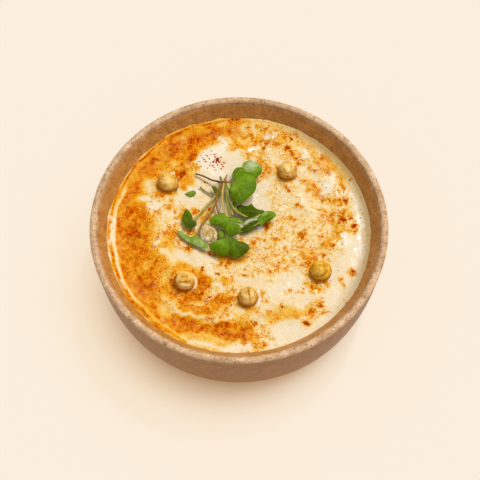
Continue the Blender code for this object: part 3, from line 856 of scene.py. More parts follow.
def hummusMaterial():
    material, tree, shader = newMaterial("hummus cream", {"Specular IOR Level": 0.0, "Coat Roughness": 0.12})
    where = objectCoordinates(tree)
    oil, dust, highlight = attribute(tree, "oil"), attribute(tree, "dust"), attribute(tree, "highlight")
    grains, clumps, clouds = (noiseAt(tree, where, *cream[part]) for part in ("grains", "clumps", "clouds"))
    group = speckleGroup()
    thick = times(tree, dust, remap(tree, clouds, 0.38, 0.62, 0.55, 1.35))
    fine, fineTone = addSpeckle(tree, group, thick, *cream["fineSpecks"])
    broad, broadTone = addSpeckle(tree, group, times(tree, thick, 0.40), *cream["broadSpecks"])
    mixed = plus(tree, times(tree, grains, 0.45), times(tree, clumps, 0.55))
    haze = times(tree, thick, remap(tree, mixed, 0.43, 0.60, 0.03, 0.86))
    oilTone = times(tree, oil, remap(tree, mixed, 0.40, 0.60, 0.66, 1.26))
    base = calculate(tree, "MAXIMUM", oilTone, haze)
    fineTone = times(tree, fine, remap(tree, fineTone, 0.0, 1.0, 0.04, 0.32))
    broadTone = times(tree, broad, remap(tree, broadTone, 0.0, 1.0, 0.36, 0.95))
    tone = calculate(tree, "MAXIMUM", plus(tree, base, fineTone), broadTone)
    tone = times(tree, tone, remap(tree, highlight, 0.0, 1.0, 1.0, 0.12))
    colour = colourRamp(tree, tone, cream["tones"])
    gold = remap(tree, noiseAt(tree, where, *cream["goldClouds"]), 0.48, 0.62, 0.0, 0.65)
    gold = times(tree, gold, remap(tree, oil, 0.06, 0.3, 0.0, 0.6))
    gleam = remap(tree, noiseAt(tree, where, *cream["gleams"]), 0.56, 0.68, 0.0, 0.8)
    gleam = times(tree, gleam, remap(tree, oil, 0.1, 0.45, 1.0, 0.0))
    for amount, tint in ((gold, "gold"), (gleam, "gleam"),
                         # painted highlights, first pale, then nearly white
                         (remap(tree, highlight, 0.0, 0.7, 0.0, 0.7), "paleHighlight"),
                         (remap(tree, highlight, 0.75, 1.0), "shine"),
                         # painted shadow of the wall
                         (times(tree, attribute(tree, "wallShade"), 0.75), "shade")):
        colour = mixColours(tree, amount, colour, cream[tint])
    ripples = plus(tree, times(tree, clumps, 0.6), times(tree, clouds, 1.5))
    wet = plus(tree, noiseAt(tree, where, *cream["wetPatches"]), times(tree, highlight, 0.12))
    feed(tree, shader, {"Base Color": colour, "Normal": bump(tree, ripples, 0.25, 0.6 * mm),
        "Coat Weight": remap(tree, wet, 0.585, 0.64, 0.04, 1.0),
        "Coat Normal": bump(tree, ripples, 0.5, 1.0 * mm)})
    return material


def makeHummus():
    steps, into = hummus["gridSteps"], hummus["intoWall"]
    rim = innerRadius(np.full(1, hummus["level"]))[0] + into
    x, y = discGrid(steps, rim)
    z = hummus["level"] + surfaceHeight(x, y)
    # the rim follows the wall, so the edge is pushed out where it climbs
    edge = smoothStep(np.hypot(x, y), rim - hummus["edgeBlend"], rim)
    grow = 1 + ((innerRadius(z) + into) / rim - 1) * edge
    x, y = x * grow, y * grow
    n = steps + 1
    faces = [(j * n + i, j * n + i + 1, (j + 1) * n + i + 1, (j + 1) * n + i)
             for j in range(steps) for i in range(steps)]
    last = borderLoop(steps)
    turns, top = np.arctan2(y[last], x[last]), z[last]
    points, count, size = [np.stack([x, y, z], 1)], n * n, len(last)
    under = bowl["floorThickness"] + hummus["aboveFloor"]
    for share in np.linspace(1, 0, hummus["skirtSteps"] + 1)[1:]:
        height = under + share * (top - under)
        out = innerRadius(height) + hummus["skirtIntoWall"]
        points.append(np.stack([out * np.cos(turns), out * np.sin(turns), height], 1))
        ring = list(range(count, count + size))
        faces += [(last[i], ring[i], ring[(i + 1) % size], last[(i + 1) % size]) for i in range(size)]
        count += size
        last = ring
    points.append(np.array([[0, 0, under]]))
    faces += [(last[i], count, last[(i + 1) % size]) for i in range(size)]
    allPoints = np.concatenate(points)
    mesh = meshFrom("hummusBody", allPoints * mm, faces)
    for name, values in paintFields(allPoints[:, 0], allPoints[:, 1]).items():
        storeValues(mesh, name, values)
    piece = addPiece("hummusBody", mesh, hummusMaterial())
    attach(piece, "root")
    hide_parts("hummus")
    return piece


hummusPiece = makeHummus()

print("paprika")

# Loose paprika: grains strewn over the hummus where the dust lies, tilted a little and turned any way
paprika = {
    "grainsPerArea": 0.7,
    "seed": 4,
    "shadeSeed": 9,
    "smallest": 0.13,
    "largest": 0.42,
    "flatness": 0.6,
    "width": 0.8,
    "leastUpward": 0.5,
    "crowding": 1.6,
    "fewLarge": 2.0,
    "tilt": (0.5, 0.5, 6.28),
    "tints": ((0.0, (0.28, 0.018, 0.001)), (0.3, (0.50, 0.075, 0.002)), (0.7, (0.66, 0.23, 0.01)),
              (0.88, (0.52, 0.22, 0.02)), (1.0, (0.14, 0.05, 0.008))),
}


def grainTree():
    tree, given = newTree("strewn grains", {"Surface": "Object", "Per Area": "Float", "Seed": "Int",
        "Smallest": "Float", "Largest": "Float", "Flatness": "Float", "Material": "Material"})
    ground = addNode(tree, "GeometryNodeObjectInfo", {"Object": given["Surface"]}).outputs["Geometry"]
    dust = addNode(tree, "GeometryNodeInputNamedAttribute", {"Name": "dust"}, data_type="FLOAT")
    density = times(tree, calculate(tree, "POWER", dust, paprika["crowding"]), given["Per Area"])
    facing = splitVector(tree, addNode(tree, "GeometryNodeInputNormal"))["Z"]
    upward = calculate(tree, "GREATER_THAN", facing, paprika["leastUpward"])
    strewn = addNode(tree, "GeometryNodeDistributePointsOnFaces", {"Mesh": ground, "Selection": upward,
        "Density": density, "Seed": given["Seed"]}, distribute_method="RANDOM")
    grain = addNode(tree, "GeometryNodeMeshIcoSphere", {"Radius": 1.0, "Subdivisions": 1})
    squashed = addNode(tree, "ShaderNodeCombineXYZ", {0: 1.0, 1: paprika["width"], 2: given["Flatness"]})
    chance = addNode(tree, "FunctionNodeRandomValue", {"Seed": given["Seed"]}, data_type="FLOAT").outputs[1]
    skewed = calculate(tree, "POWER", chance, paprika["fewLarge"])
    size = remap(tree, skewed, 0.0, 1.0, given["Smallest"], given["Largest"])
    turned = addNode(tree, "FunctionNodeRandomValue", {0: (0, 0, 0), 1: paprika["tilt"],
        "Seed": given["Seed"]}, data_type="FLOAT_VECTOR")
    placed = addNode(tree, "GeometryNodeInstanceOnPoints", {"Points": strewn, "Instance": grain,
        "Rotation": turned, "Scale": calculateVector(tree, "SCALE", squashed, size)})
    shade = addNode(tree, "FunctionNodeRandomValue", {"Seed": paprika["shadeSeed"]}, data_type="FLOAT")
    tinted = addNode(tree, "GeometryNodeStoreNamedAttribute", {"Geometry": placed, "Name": "shade",
        "Value": shade.outputs[1]}, data_type="FLOAT", domain="INSTANCE")
    return finishTree(tree, tinted, given["Material"])


def paprikaMaterial():
    material, tree, shader = newMaterial("paprika red", {"Roughness": 0.6, "Specular IOR Level": 0.02})
    feed(tree, shader, {"Base Color": colourRamp(tree, attribute(tree, "shade"), paprika["tints"])})
    return material


def makeGrains(ground):
    mesh = runTree("paprikaGrains", grainTree(), {"Surface": ground, "Seed": paprika["seed"],
        "Per Area": paprika["grainsPerArea"] / mm ** 2, "Smallest": paprika["smallest"] * mm,
        "Largest": paprika["largest"] * mm, "Flatness": paprika["flatness"], "Material": paprikaMaterial()})
    piece = addPiece("paprikaGrains", mesh, None)
    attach(piece, "root")


makeGrains(hummusPiece)

# Larger flakes: x, y and half width. More lie in the deep clots of spice
flakes = {
    "seed": 12,
    "fromDepth": 0.72,
    "inEachClot": 3,
    "smallest": 0.25,
    "largest": 0.62,
    "flatness": 0.4,
    "width": (0.5, 0.9),
    "jagged": (0.65, 1.2),
    "shades": (0, 0.45),
    "scatter": 0.42,
    "lift": 0.05,
    "spots": (
        (-11.6, 40.6, 1), (-10.9, 42, .8), (-12.6, 41.2, .7), (-11.8, 39.4, .7), (-9, 38.6, .9),
        (-8.4, 37.4, .6), (-19.2, 42.6, .6), (-17.4, 40.2, .7), (-15.4, 41.8, .7), (-13.6, 37.9, .8),
        (-13, 36.8, .5), (-17, 44, .5), (-20.4, 40.2, .6), (-14.2, 46.6, .5), (-16.2, 36.4, .5),
        (-21.8, 38.8, .5), (-18.6, 45.8, .4), (-10, 53, .4), (-8.6, 51.6, .4), (-14.8, 39.6, .5),
        (-12, 44.4, .4), (-9.6, 41, .5), (-19.6, 37.4, .5), (-22.6, 41.4, .4), (-11.2, 41.4, 1.2),
        (-10.2, 40, .9), (-12.4, 42.8, .8), (-9.4, 42.6, .7), (-11, 38.4, .8), (-7.8, 39.6, .7),
        (-13.4, 40, .8), (-12.8, 44.2, .6), (-9.2, 36.2, .7), (-15.2, 38, .6), (-18.2, 41.4, .7),
        (-16.4, 43.4, .6), (-14.4, 44.2, .5), (-20, 44, .5), (-12, 35.4, .5), (-17.6, 28, .9),
        (-16.4, 27.4, .5), (-20.6, 23.6, .5), (-1, 65.8, .9), (-3.4, 65.6, .9), (.4, 66, .6),
        (-37.6, 8.4, .4), (-30.4, 16.8, .4), (61.8, 7.4, .5), (57.2, 29.2, .6), (60.4, 11.6, .3),
        (49.6, 26.2, .4), (53.2, 30.2, .5), (-45.6, 12.4, .5), (-44.8, 16.8, .4), (-40.6, 11.6, .5),
        (-18.4, -21.2, .9), (-17.8, -20.4, .6), (-10.4, -24.4, .8), (2.4, -25, .7), (15.8, -23, .7),
        (-25.6, -14.6, .3), (-2.2, -34.6, .4), (21.4, -42, .7), (11.6, -20.2, .4), (-53.4, 22.2, .6),
    ),
}


def makeFlakes():
    random = np.random.default_rng(flakes["seed"])
    spots = list(flakes["spots"])
    for x, y, size, depth in spiceAndShadeSpots:
        if depth > flakes["fromDepth"]:
            for shift in random.normal(0, flakes["scatter"] * size, (flakes["inEachClot"], 2)):
                halfWidth = random.uniform(flakes["smallest"], flakes["largest"])
                spots.append((x + shift[0], y + shift[1], halfWidth))
    ballMesh, ball = ballPoints(1)
    ballFaces = [tuple(face.vertices) for face in ballMesh.polygons]
    points, faces, shades = [], [], []
    for x, y, size in spots:
        height = hummus["level"] + surfaceHeight(np.array([x]), np.array([y]))[0]
        shape = ball * random.uniform(*flakes["jagged"], (len(ball), 1))
        shape = shape * (size, size * random.uniform(*flakes["width"]), 1)
        shape[:, 2] *= size * flakes["flatness"]
        turned = np.array(Matrix.Rotation(random.uniform(0, math.tau), 3, "Z"))
        faces += [tuple(i + len(points) * len(ball) for i in face) for face in ballFaces]
        points.append(shape @ turned.T + (x, y, height + flakes["lift"]))
        shades.append(np.full(len(ball), random.uniform(*flakes["shades"])))
    mesh = meshFrom("paprikaFlakes", np.concatenate(points) * mm, faces)
    storeValues(mesh, "shade", np.concatenate(shades))
    piece = addPiece("paprikaFlakes", mesh, bpy.data.materials["paprika red"])
    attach(piece, "root")


makeFlakes()

print("chickpeas")

# In shares of the radius, and widths in degrees. The skin is ridged and folded by random hills
chickpeaShape = {
    "detail": 6,
    "beakWidth": 15,
    "collarAt": 32,
    "collarWidth": 10,
    "collarDepth": 0.02,
    "lumpSize": 0.8,
    "ridgeSize": 0.45,
    "ridgeSquash": 1.6,
    "ridgeDepth": 1.6,
    "ridgeWidth": 0.10,
    "foldSize": 0.62,
    "foldSquash": 1.8,
    "foldDepth": 2.2,
    "foldWidth": 0.07,
    "foldDark": 0.5,
    "foldDarkWidth": 0.06,
    "darkWrinkles": 0.012,
    "paleSize": 0.4,
    "paleShare": 0.5,
    "paleEdge": (0.1, 0.8),
    "stir": 0.06,
    "stirSize": 0.35,
    "markSteps": 15,
    "footFrom": 0.2,
    "footHeight": 1.0,
    "footColour": 0.95,
    # mottle and noise as in the bowl's wall
    "mottle": (300.0, 1400.0, 0.06),
    "fineNoise": (900.0, 3.0, 0.6),
    "tones": {"dark": 0.41, "middle": 0.49, "light": 0.57},
}
# at: x, y and lift of the middle above the hummus level; size: along, across and up; beak: heading, rise and
# length. Each mark runs between two spots, given as x and y shares of the radius seen from above, with its
# half width in degrees, how deep it sinks, and how dark (a spot, or painted shade in a crease) or, below
# zero, how pale (a painted highlight) it is
chickpeas = {
    "chickpea_1": {"skin": "tan", "at": (-36.7, 26.8, 2.2), "size": (10.8, 10, 9.6),
        "heading": -28, "beak": (-28, 6, .24),
        "lumps": .025, "wrinkles": .004, "marks": ((-.42, .22, -.36, .24, 6, .02, .45),
        (-.33, -.77, -.28, -.74, 7, .02, .5), (-.8, .04, -.5, -.8, 7, .02, .45),
        (-.1, -.3, .15, -.35, 20, 0, -.5), (.1, .05, .35, -.1, 4, .015, .25),
        (.55, -.55, .7, -.35, 7, .03, .3))},
    "chickpea_2": {"skin": "tan", "at": (25.2, 33.6, 2.3), "size": (10.2, 10, 9.4),
        "heading": -94, "beak": (-94, 30, .04),
        "lumps": .03, "wrinkles": .006, "marks": ((-.03, -.89, -.02, -.88, 6, .03, 1.2),
        (-.16, -.65, -.1, -.68, 6, .02, .7), (.1, -.66, .14, -.62, 6, .02, .6),
        (.28, .57, .28, -.19, 3.5, .03, .5), (-.75, .26, -.2, -.52, 4, .015, .35),
        (.8, -.17, .25, -.55, 4, .015, .3), (0, -.12, 0, -.38, 15, -.01, -1),
        (.55, .2, .5, -.2, 9, -.01, -.5), (-.85, -.1, -.7, -.6, 9, 0, .5))},
    "chickpea_3": {"skin": "tan", "at": (-27.1, -28.9, 1.6), "size": (10.6, 10, 9),
        "heading": 130, "beak": (130, 42, .04),
        "lumps": .03, "wrinkles": .012, "marks": ((-.35, -.42, .45, -.4, 5, .06, .8),
        (-.25, .08, -.2, .1, 6, .03, .8), (.12, -.34, .2, -.32, 4, .02, .8),
        (-.6, -.01, .3, .15, 4, .03, .4), (-.4, -.64, .5, -.63, 8, -.02, -.9),
        (-.3, -.84, .4, -.84, 5, -.01, -.5), (-.45, -.76, .5, -.75, 3.5, .02, .4),
        (-.9, -.2, -.85, .35, 14, 0, .8), (.45, .35, .75, -.1, 5, .02, -.4))},
    "chickpea_4": {"skin": "tan", "at": (4.8, -37.4, 2.2), "size": (10, 9.8, 9.4),
        "heading": -80, "beak": (-80, 24, .04),
        "lumps": .02, "wrinkles": .006, "marks": ((-.08, .48, .02, -.12, 7, .09, .9),
        (-.1, .6, -.06, .35, 13, .04, .5), (.35, -.22, .38, -.35, 13, -.02, -.9),
        (-.2, -.36, -.14, -.44, 9, -.01, -.9), (-.52, -.05, -.45, -.3, 12, -.02, -.5),
        (.05, -.94, .07, -.93, 5, .02, .7), (.1, -.25, .1, -.62, 4, .02, .3),
        (.85, -.3, .6, -.7, 8, 0, .4))},
    "chickpea_5": {"skin": "ochre", "at": (40.9, -23.4, 2.3), "size": (10.8, 10.4, 9.8),
        "heading": 150, "beak": (120, -20, .03),
        "lumps": .03, "wrinkles": .010, "marks": ((-.25, -.38, -.1, -.48, 19, -.07, -.5),
        (.25, .08, .36, -.5, 5, .05, .7), (.34, -.52, 0, -.85, 5, .05, .7),
        (0, -.86, -.5, -.78, 5, .04, .6), (-.7, -.1, 0, .15, 4, .03, .55),
        (-.65, -.35, -.15, -.1, 3.5, .03, .45), (-.3, -.5, -.15, -.34, 4, .02, .4),
        (-.12, -.36, -.02, -.52, 3.5, .02, .4), (.6, .25, .7, -.2, 8, -.02, -.3),
        (-.8, -.3, -.75, .3, 10, 0, .5))},
    "chickpea_6": {"skin": "husk", "at": (-15.6, -2.8, .9), "size": (11, 9.4, 9.2),
        "heading": 100, "beak": (100, 0, .04),
        "lumps": .07, "wrinkles": .034, "marks": ((.15, .45, .1, -.45, 5, .05, .5),
        (-.3, .3, -.25, -.4, 4, .04, .4), (.55, .2, .5, -.5, 6, .04, .7),
        (-.75, .25, -.6, -.65, 7, -.02, -1.1), (-.4, -.6, -.1, -.7, 9, -.02, -1),
        (-.1, .6, .3, .62, 6, 0, -.8))},
}


def chickpeaMaterial(name, tints):
    material, tree, shader = newMaterial(name, {"Roughness": 0.36, "Specular IOR Level": 0.07})
    patches, specks = addMottle(tree, *chickpeaShape["mottle"])
    fine = noiseAt(tree, objectCoordinates(tree), *chickpeaShape["fineNoise"])
    tone = plus(tree, times(tree, patches, 0.6), times(tree, fine, 0.4))
    stops = [(place, tints[tint]) for tint, place in chickpeaShape["tones"].items()]
    skin = colourRamp(tree, tone, stops)
    # painted highlights, dark spots with painted shade in the creases, the foot colour low down, and dark
    # specks
    for amount, tint in ((times(tree, attribute(tree, "pale"), 0.75), "pale"),
                         (attribute(tree, "darkSpotsAndShade"), "darkSpotsAndShade"), (attribute(tree, "foot"), "foot"),
                         (times(tree, specks, 0.55), "darkSpotsAndShade")):
        skin = mixColours(tree, amount, skin, tints[tint])
    feed(tree, shader, {"Base Color": skin, "Normal": bump(tree, tone, 0.25, 0.3 * mm)})
    return material


def aim(heading, rise):
    turn, lift = math.radians(heading), math.radians(rise)
    return np.array([math.cos(turn) * math.cos(lift), math.sin(turn) * math.cos(lift), math.sin(lift)])


# Degrees from each point of the ball to a mark
def fromMark(ball, mark):
    ends = [np.array((x, y, math.sqrt(max(0.0, 1 - x * x - y * y)))) for x, y in (mark[:2], mark[2:4])]
    nearest = np.full(len(ball), -1.0)
    for share in np.linspace(0, 1, chickpeaShape["markSteps"]):
        spot = ends[0] + share * (ends[1] - ends[0])
        nearest = np.maximum(nearest, ball @ (spot / np.linalg.norm(spot)))
    return np.degrees(np.arccos(np.clip(nearest, -1, 1)))


def makeChickpea(name, values, seed, material):
    x, y, lift = values["at"]
    along, across, tall = values["size"]
    heading, rise, beak = values["beak"]
    shape = chickpeaShape
    mesh, ball = ballPoints(shape["detail"])
    bx, by, bz = ball.T
    nearTip = np.degrees(np.arccos(np.clip(ball @ aim(heading, rise), -1, 1)))
    collar = np.exp(-((nearTip - shape["collarAt"]) / shape["collarWidth"]) ** 2)
    reach = 1 + beak * np.exp(-(nearTip / shape["beakWidth"]) ** 2) - shape["collarDepth"] * collar
    ridges = np.abs(hills(bx * shape["ridgeSquash"], by, shape["ridgeSize"], seed + 1, bz))
    folds = np.abs(hills(bx, by * shape["foldSquash"], shape["foldSize"], seed + 2, bz))
    wrinkles = shape["ridgeDepth"] * np.exp(-(ridges / shape["ridgeWidth"]) ** 2)
    wrinkles = wrinkles + shape["foldDepth"] * np.exp(-(folds / shape["foldWidth"]) ** 2)
    reach -= values["wrinkles"] * wrinkles
    reach += values["lumps"] * hills(bx, by, shape["lumpSize"], seed + 3, bz)
    # marks are drawn on a slightly stirred ball, so that none is quite straight
    stirs = [hills(bx, by, shape["stirSize"], seed + 6 + axis, bz) for axis in range(3)]
    stirred = ball + shape["stir"] * np.stack(stirs, 1)
    stirred /= np.linalg.norm(stirred, axis=1)[:, None]
    # the folds are painted darker, as shade in the creases of the skin
    dark = shape["foldDark"] * np.exp(-(folds / shape["foldDarkWidth"]) ** 2)
    dark = dark * min(1, values["wrinkles"] / shape["darkWrinkles"])
    # pale patches at random and the pale marks are painted highlights
    paleHills = hills(bx, by, shape["paleSize"], seed + 5, bz)
    pale = shape["paleShare"] * smoothStep(paleHills, *shape["paleEdge"])
    for mark in values["marks"]:
        width, depth, darkness = mark[4:]
        inside = np.exp(-(fromMark(stirred, mark) / width) ** 2)
        reach -= depth * inside
        dark = np.maximum(dark, darkness * inside)
        pale = np.maximum(pale, -darkness * inside)
    turn = math.radians(values["heading"])
    cos, sin = math.cos(turn), math.sin(turn)
    lx, ly = (bx * cos + by * sin) * along / 2 * reach, (-bx * sin + by * cos) * across / 2 * reach
    height = hummus["level"] + lift + bz * tall / 2 * reach
    points = np.stack([x + lx * cos - ly * sin, y + lx * sin + ly * cos, height], 1) * mm
    mesh.vertices.foreach_set("co", points.ravel())
    mesh.update()
    mesh.shade_smooth()
    storeValues(mesh, "darkSpotsAndShade", np.clip(dark, 0, 1))
    storeValues(mesh, "pale", np.clip(pale, 0, 1))
    # low down, where the chickpea sits in the hummus, the skin takes its foot colour: on the tan and ochre
    # skins a dark red brown, partly oil and partly painted contact shade; on the husk a pale film of hummus
    sunk = 1 - smoothStep(lift / (tall / 2) + bz, shape["footFrom"], shape["footHeight"])
    storeValues(mesh, "foot", shape["footColour"] * sunk)
    piece = addPiece(name.replace("_", "") + "Skin", mesh, material)
    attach(piece, "root")
    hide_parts(name)


skins = {
    "tan": {"dark": (0.54, 0.225, 0.016), "middle": (0.71, 0.375, 0.06), "light": (0.84, 0.55, 0.15),
        "darkSpotsAndShade": (0.32, 0.095, 0.003), "pale": (0.95, 0.74, 0.35), "foot": (0.40, 0.105, 0.003)},
    "ochre": {"dark": (0.54, 0.215, 0.006), "middle": (0.72, 0.37, 0.014), "light": (0.84, 0.52, 0.05),
        "darkSpotsAndShade": (0.36, 0.115, 0.002), "pale": (0.93, 0.62, 0.18), "foot": (0.42, 0.11, 0.003)},
    "husk": {"dark": (0.38, 0.22, 0.05), "middle": (0.56, 0.36, 0.11), "light": (0.74, 0.56, 0.25),
        "darkSpotsAndShade": (0.20, 0.09, 0.01), "pale": (1.0, 0.94, 0.72), "foot": (0.94, 0.82, 0.55)},
}
skinMaterials = {skin: chickpeaMaterial("chickpea " + skin, tints) for skin, tints in skins.items()}
for number, (name, values) in enumerate(chickpeas.items()):
    makeChickpea(name, values, 100 + 10 * number, skinMaterials[values["skin"]])

print("microgreens")

# Each leaf: joint with the stem and tip of the midrib as x, y and lift above the hummus level, rise of its
# middle, tone from dark to pale, then its outline as x and y
leaves = {
    "backLight": ((2.6, 31.4, 4.6), (11.6, 32.3, 5.7), .9, .8, ((1.5, 34.5), (2.6, 37), (5.2, 38.3),
        (8.3, 37.2), (10.7, 35), (11.9, 32.3), (10.8, 29.6), (8.8, 28.2), (6, 28.9), (3.3, 30.7),
        (1.8, 32.6))),
    "halfHidden": ((-3.1, 27.7, 4.7), (2.6, 33.6, 5), .7, .5, ((-3.5, 29.8), (-3, 32), (-1.4, 33.9),
        (.7, 34.3), (3.2, 33.4), (5, 31.2), (4.1, 28.9), (1.5, 27.2), (-1.6, 27.1), (-3.2, 28.1))),
    "roundHeart": ((-3.4, 24.6, 6.7), (2.2, 12.6, 6.8), 1.1, .52, ((-2.7, 24.8), (-2.1, 27.3), (-.4, 29.3),
        (2.2, 30.5), (5, 30.4), (7.3, 29), (8.6, 26), (8.9, 22.8), (8.4, 20), (6.9, 17.4), (4.6, 15.4),
        (2.9, 13.8), (1.3, 12.1), (-.2, 11.8), (-2.1, 13), (-3.5, 15.1), (-4.4, 17.9), (-4.7, 20.9),
        (-4.2, 23.2))),
    "darkRight": ((-1.7, 9.1, 4.3), (12.8, 8.2, 5.3), .5, .2, ((-2, 9.1), (-1, 11.6), (.9, 12.5),
        (2.9, 12), (4.8, 12.1), (6.3, 13.1), (7.6, 11.4), (9.4, 9.8), (12.2, 9.1), (13, 8.1), (10.9, 7.1),
        (8.9, 5.9), (6.3, 5.5), (3.7, 5), (1.6, 5.4), (-.4, 7.2))),
    "brightTip": ((9.6, 2, 4.3), (18.7, 6.4, 5.4), 1, .62, ((9.3, 3.2), (9.6, 5.5), (11.1, 7.4),
        (13.3, 8.5), (15.9, 8.7), (18.1, 7.6), (18.8, 6.1), (17.6, 4.8), (15.7, 3.4), (13.7, 2.3),
        (11.6, 1.2), (9.9, 1.5))),
    "edgeOn": ((1, -1.8, 2.3), (10.9, 2.4, 4.3), .4, .15, ((.8, 0), (2.6, 1.1), (5.1, 1.9), (7.6, 3.5),
        (9.6, 3.9), (11.1, 2.4), (10.9, 1.2), (9, .3), (6.8, -.8), (4.4, -2.1), (2.2, -2.5), (.8, -2))),
    "central": ((-5, 4.1, 6), (-11.1, .8, 5.4), 1, .52, ((-15.1, 2.9), (-14.4, 4.6), (-12.3, 6.2),
        (-9.7, 7.3), (-7.5, 7), (-5.7, 5.8), (-5.1, 3.9), (-4, 2.1), (-1.9, 1.2), (0, .4), (1.1, -1.5),
        (.5, -3.8), (-1.1, -5.3), (-3, -5.9), (-4.8, -5.4), (-6.3, -3.9), (-8.1, -1.4), (-10.3, .3),
        (-12.6, .8), (-14.3, 1.3))),
    "curled": ((-4.9, 4, 5.4), (1.7, 2.2, 4.7), .4, .64, ((-5, 4.2), (-3.4, 4.9), (-.9, 4.8), (.8, 4),
        (2, 2.3), (1.1, 1.4), (-.6, 1.8), (-2.7, 2.1), (-4.5, 3))),
    "bottomHeart": ((-5.9, -5.4, 5), (-5.2, -14.9, 3.9), .9, .46, ((-5.9, -5.9), (-8.1, -6.5),
        (-10.7, -7.6), (-12.9, -8.6), (-14.6, -9.9), (-14.8, -11.6), (-13.6, -13), (-11.4, -14.4),
        (-8.8, -15.2), (-6.6, -15.4), (-5.2, -14.9), (-3, -16), (-.4, -16.4), (2.2, -15.3), (4.4, -13.4),
        (5.2, -11.5), (4.4, -9.9), (2.2, -8.7), (0, -7.9), (-2.2, -6.8), (-4.3, -5.9))),
    "smallBright": ((-8.4, -1.2, 3.5), (-8.9, -5.3, 3), .4, .6, ((-10.3, -2.5), (-9.4, -1.2), (-8.2, -.9),
        (-7.1, -2.5), (-7.2, -4.7), (-8.9, -5.5), (-10.2, -4.7))),
    "leftFlat": ((-21, -3.7, 3), (-27.4, -4.6, 2.2), .3, .78, ((-31.3, -1.5), (-30.4, -.7), (-28.2, -2.1),
        (-25.9, -3.7), (-24.1, -4.4), (-22.2, -4), (-21.1, -3.3), (-20.1, -5.1), (-18.8, -6.8),
        (-16.8, -8.5), (-15.3, -10.6), (-16.2, -11.7), (-18.4, -11.2), (-21.4, -9.8), (-24.4, -8.2),
        (-27, -6.4), (-29.3, -4.1))),
    "leftFan": ((-22.9, 4.6, 3.2), (-27.6, 6.1, 3.2), .5, .26, ((-26.7, 10.9), (-28.3, 8.2), (-28.7, 5.2),
        (-27.9, 2.3), (-26.3, .4), (-24, .1), (-21.9, 1), (-21.4, 2.7), (-22.3, 4.5), (-23.4, 5.7),
        (-24.2, 7.8), (-25.3, 9.5))),
    "tinyLeaf": ((-9.4, 18.4, 4.2), (-13.8, 23.6, 3.6), .2, .3, ((-14, 23.7), (-12.1, 23.3), (-10.5, 20.9),
        (-9.2, 18.5), (-10.1, 17.9), (-12, 18.3), (-12.9, 20.5))),
    "sideLeaf": ((-3, 13.5, 4.7), (-2.7, 10.1, 4.3), .2, .08, ((-4, 11.6), (-3.1, 13.7), (-1.9, 12.5),
        (-1.5, 10.8), (-2.4, 9.8), (-3.6, 10.4))),
    "looseLeaf": ((-27.5, 21, .7), (-22.4, 21.5, 1.1), .3, .6, ((-27.8, 21.1), (-26, 22), (-23.8, 22.7),
        (-22.4, 22), (-22.2, 20.7), (-23.7, 19.6), (-25.3, 19.3), (-26.8, 20.2))),
    "paleLeaf": ((2.7, 2.2, 3), (9.2, 5.3, 3.9), .4, 1, ((2.5, 2.8), (4.2, 4.7), (6.6, 5.5), (9.2, 5.9),
        (9.5, 4.3), (7, 3.7), (5, 2.9), (3.3, 1.8))),
}
leafShape = {
    "outlineSteps": 4,
    "rings": 14,
    "ringCrowding": 0.85,
    "slopeReach": (-0.2, 1.2),
    "thickness": 0.32,
    "veinSpread": 0.42,
    "veinSink": 0.12,
    "veinsMeet": 0.8,
    "midribWidth": 0.3,
    "midribFrom": -0.3,
    "midribFade": (0.7, 1.0),
    "sideVeinWidth": 0.22,
    "sideVeinDepth": 0.6,
    "sideVeinsFrom": 0.5,
    "sideVeinFade": (0.55, 0.95),
    "faintVein": 0.3,
    "veinTones": (0.3, 0.55),
    "wave": 0.22,
    "waveSize": 2.6,
    "thinEdge": 0.75,
    "patches": (260.0, 4.0, 0.65),
    "greens": ((0.0, (0.03, 0.05, 0.0004)), (0.25, (0.07, 0.105, 0.001)), (0.5, (0.10, 0.185, 0.002)),
               (0.75, (0.185, 0.29, 0.02)), (1.0, (0.44, 0.49, 0.26))),
    "veinGreen": (0.27, 0.38, 0.07),
}
# Where a leaf catches the light or lies in shade: x, y, radius and change of tone
toneSpots = (
    (6.8, 35.6, 2.6, .24), (10.6, 30, 2.8, -.4), (4.4, 25.6, 3.6, .1), (6.4, 21, 3, -.14),
    (-2.6, 20.8, 1.8, .26), (-2.8, 16.6, 2, -.22), (.8, 13.4, 2.8, -.22), (-4, 24.6, 1.6, -.2),
    (13.2, 7, 2, .22), (15.6, 3.4, 3, -.3), (17, 6.6, 1.8, .12), (-10.5, 4.8, 2.4, .16),
    (-6.4, 5.6, 1.6, .22), (-3, -1, 2.4, .08), (-1.6, -4, 2.6, -.22), (-9.4, -8.6, 2.8, .26),
    (-12, -12.4, 2.4, -.16), (2.2, -12.8, 4.4, -.34), (-4.2, -9.6, 1.4, -.22), (-4.4, -15.4, 2, -.22),
    (-23.6, 1.6, 2.4, -.16), (-26.6, 8.4, 2, .02), (6, 7.2, 2.2, -.14), (-19, -7.4, 2.4, .14),
)


# Closed smooth line through points
def closedLine(points, steps):
    points = np.array(points, float)
    total = []
    for i in range(len(points)):
        a, b, c, d = (points[(i + k) % len(points)] for k in (-1, 0, 1, 2))
        for t in np.arange(steps) / steps:
            total.append(0.5 * (2 * b + (c - a) * t + (2 * a - 5 * b + 4 * c - d) * t ** 2
                                + (3 * b - a - 3 * c + d) * t ** 3))
    total = np.array(total)
    after = np.roll(total, -1, axis=0)
    area = np.sum(total[:, 0] * after[:, 1] - after[:, 0] * total[:, 1])
    return total if area > 0 else total[::-1]


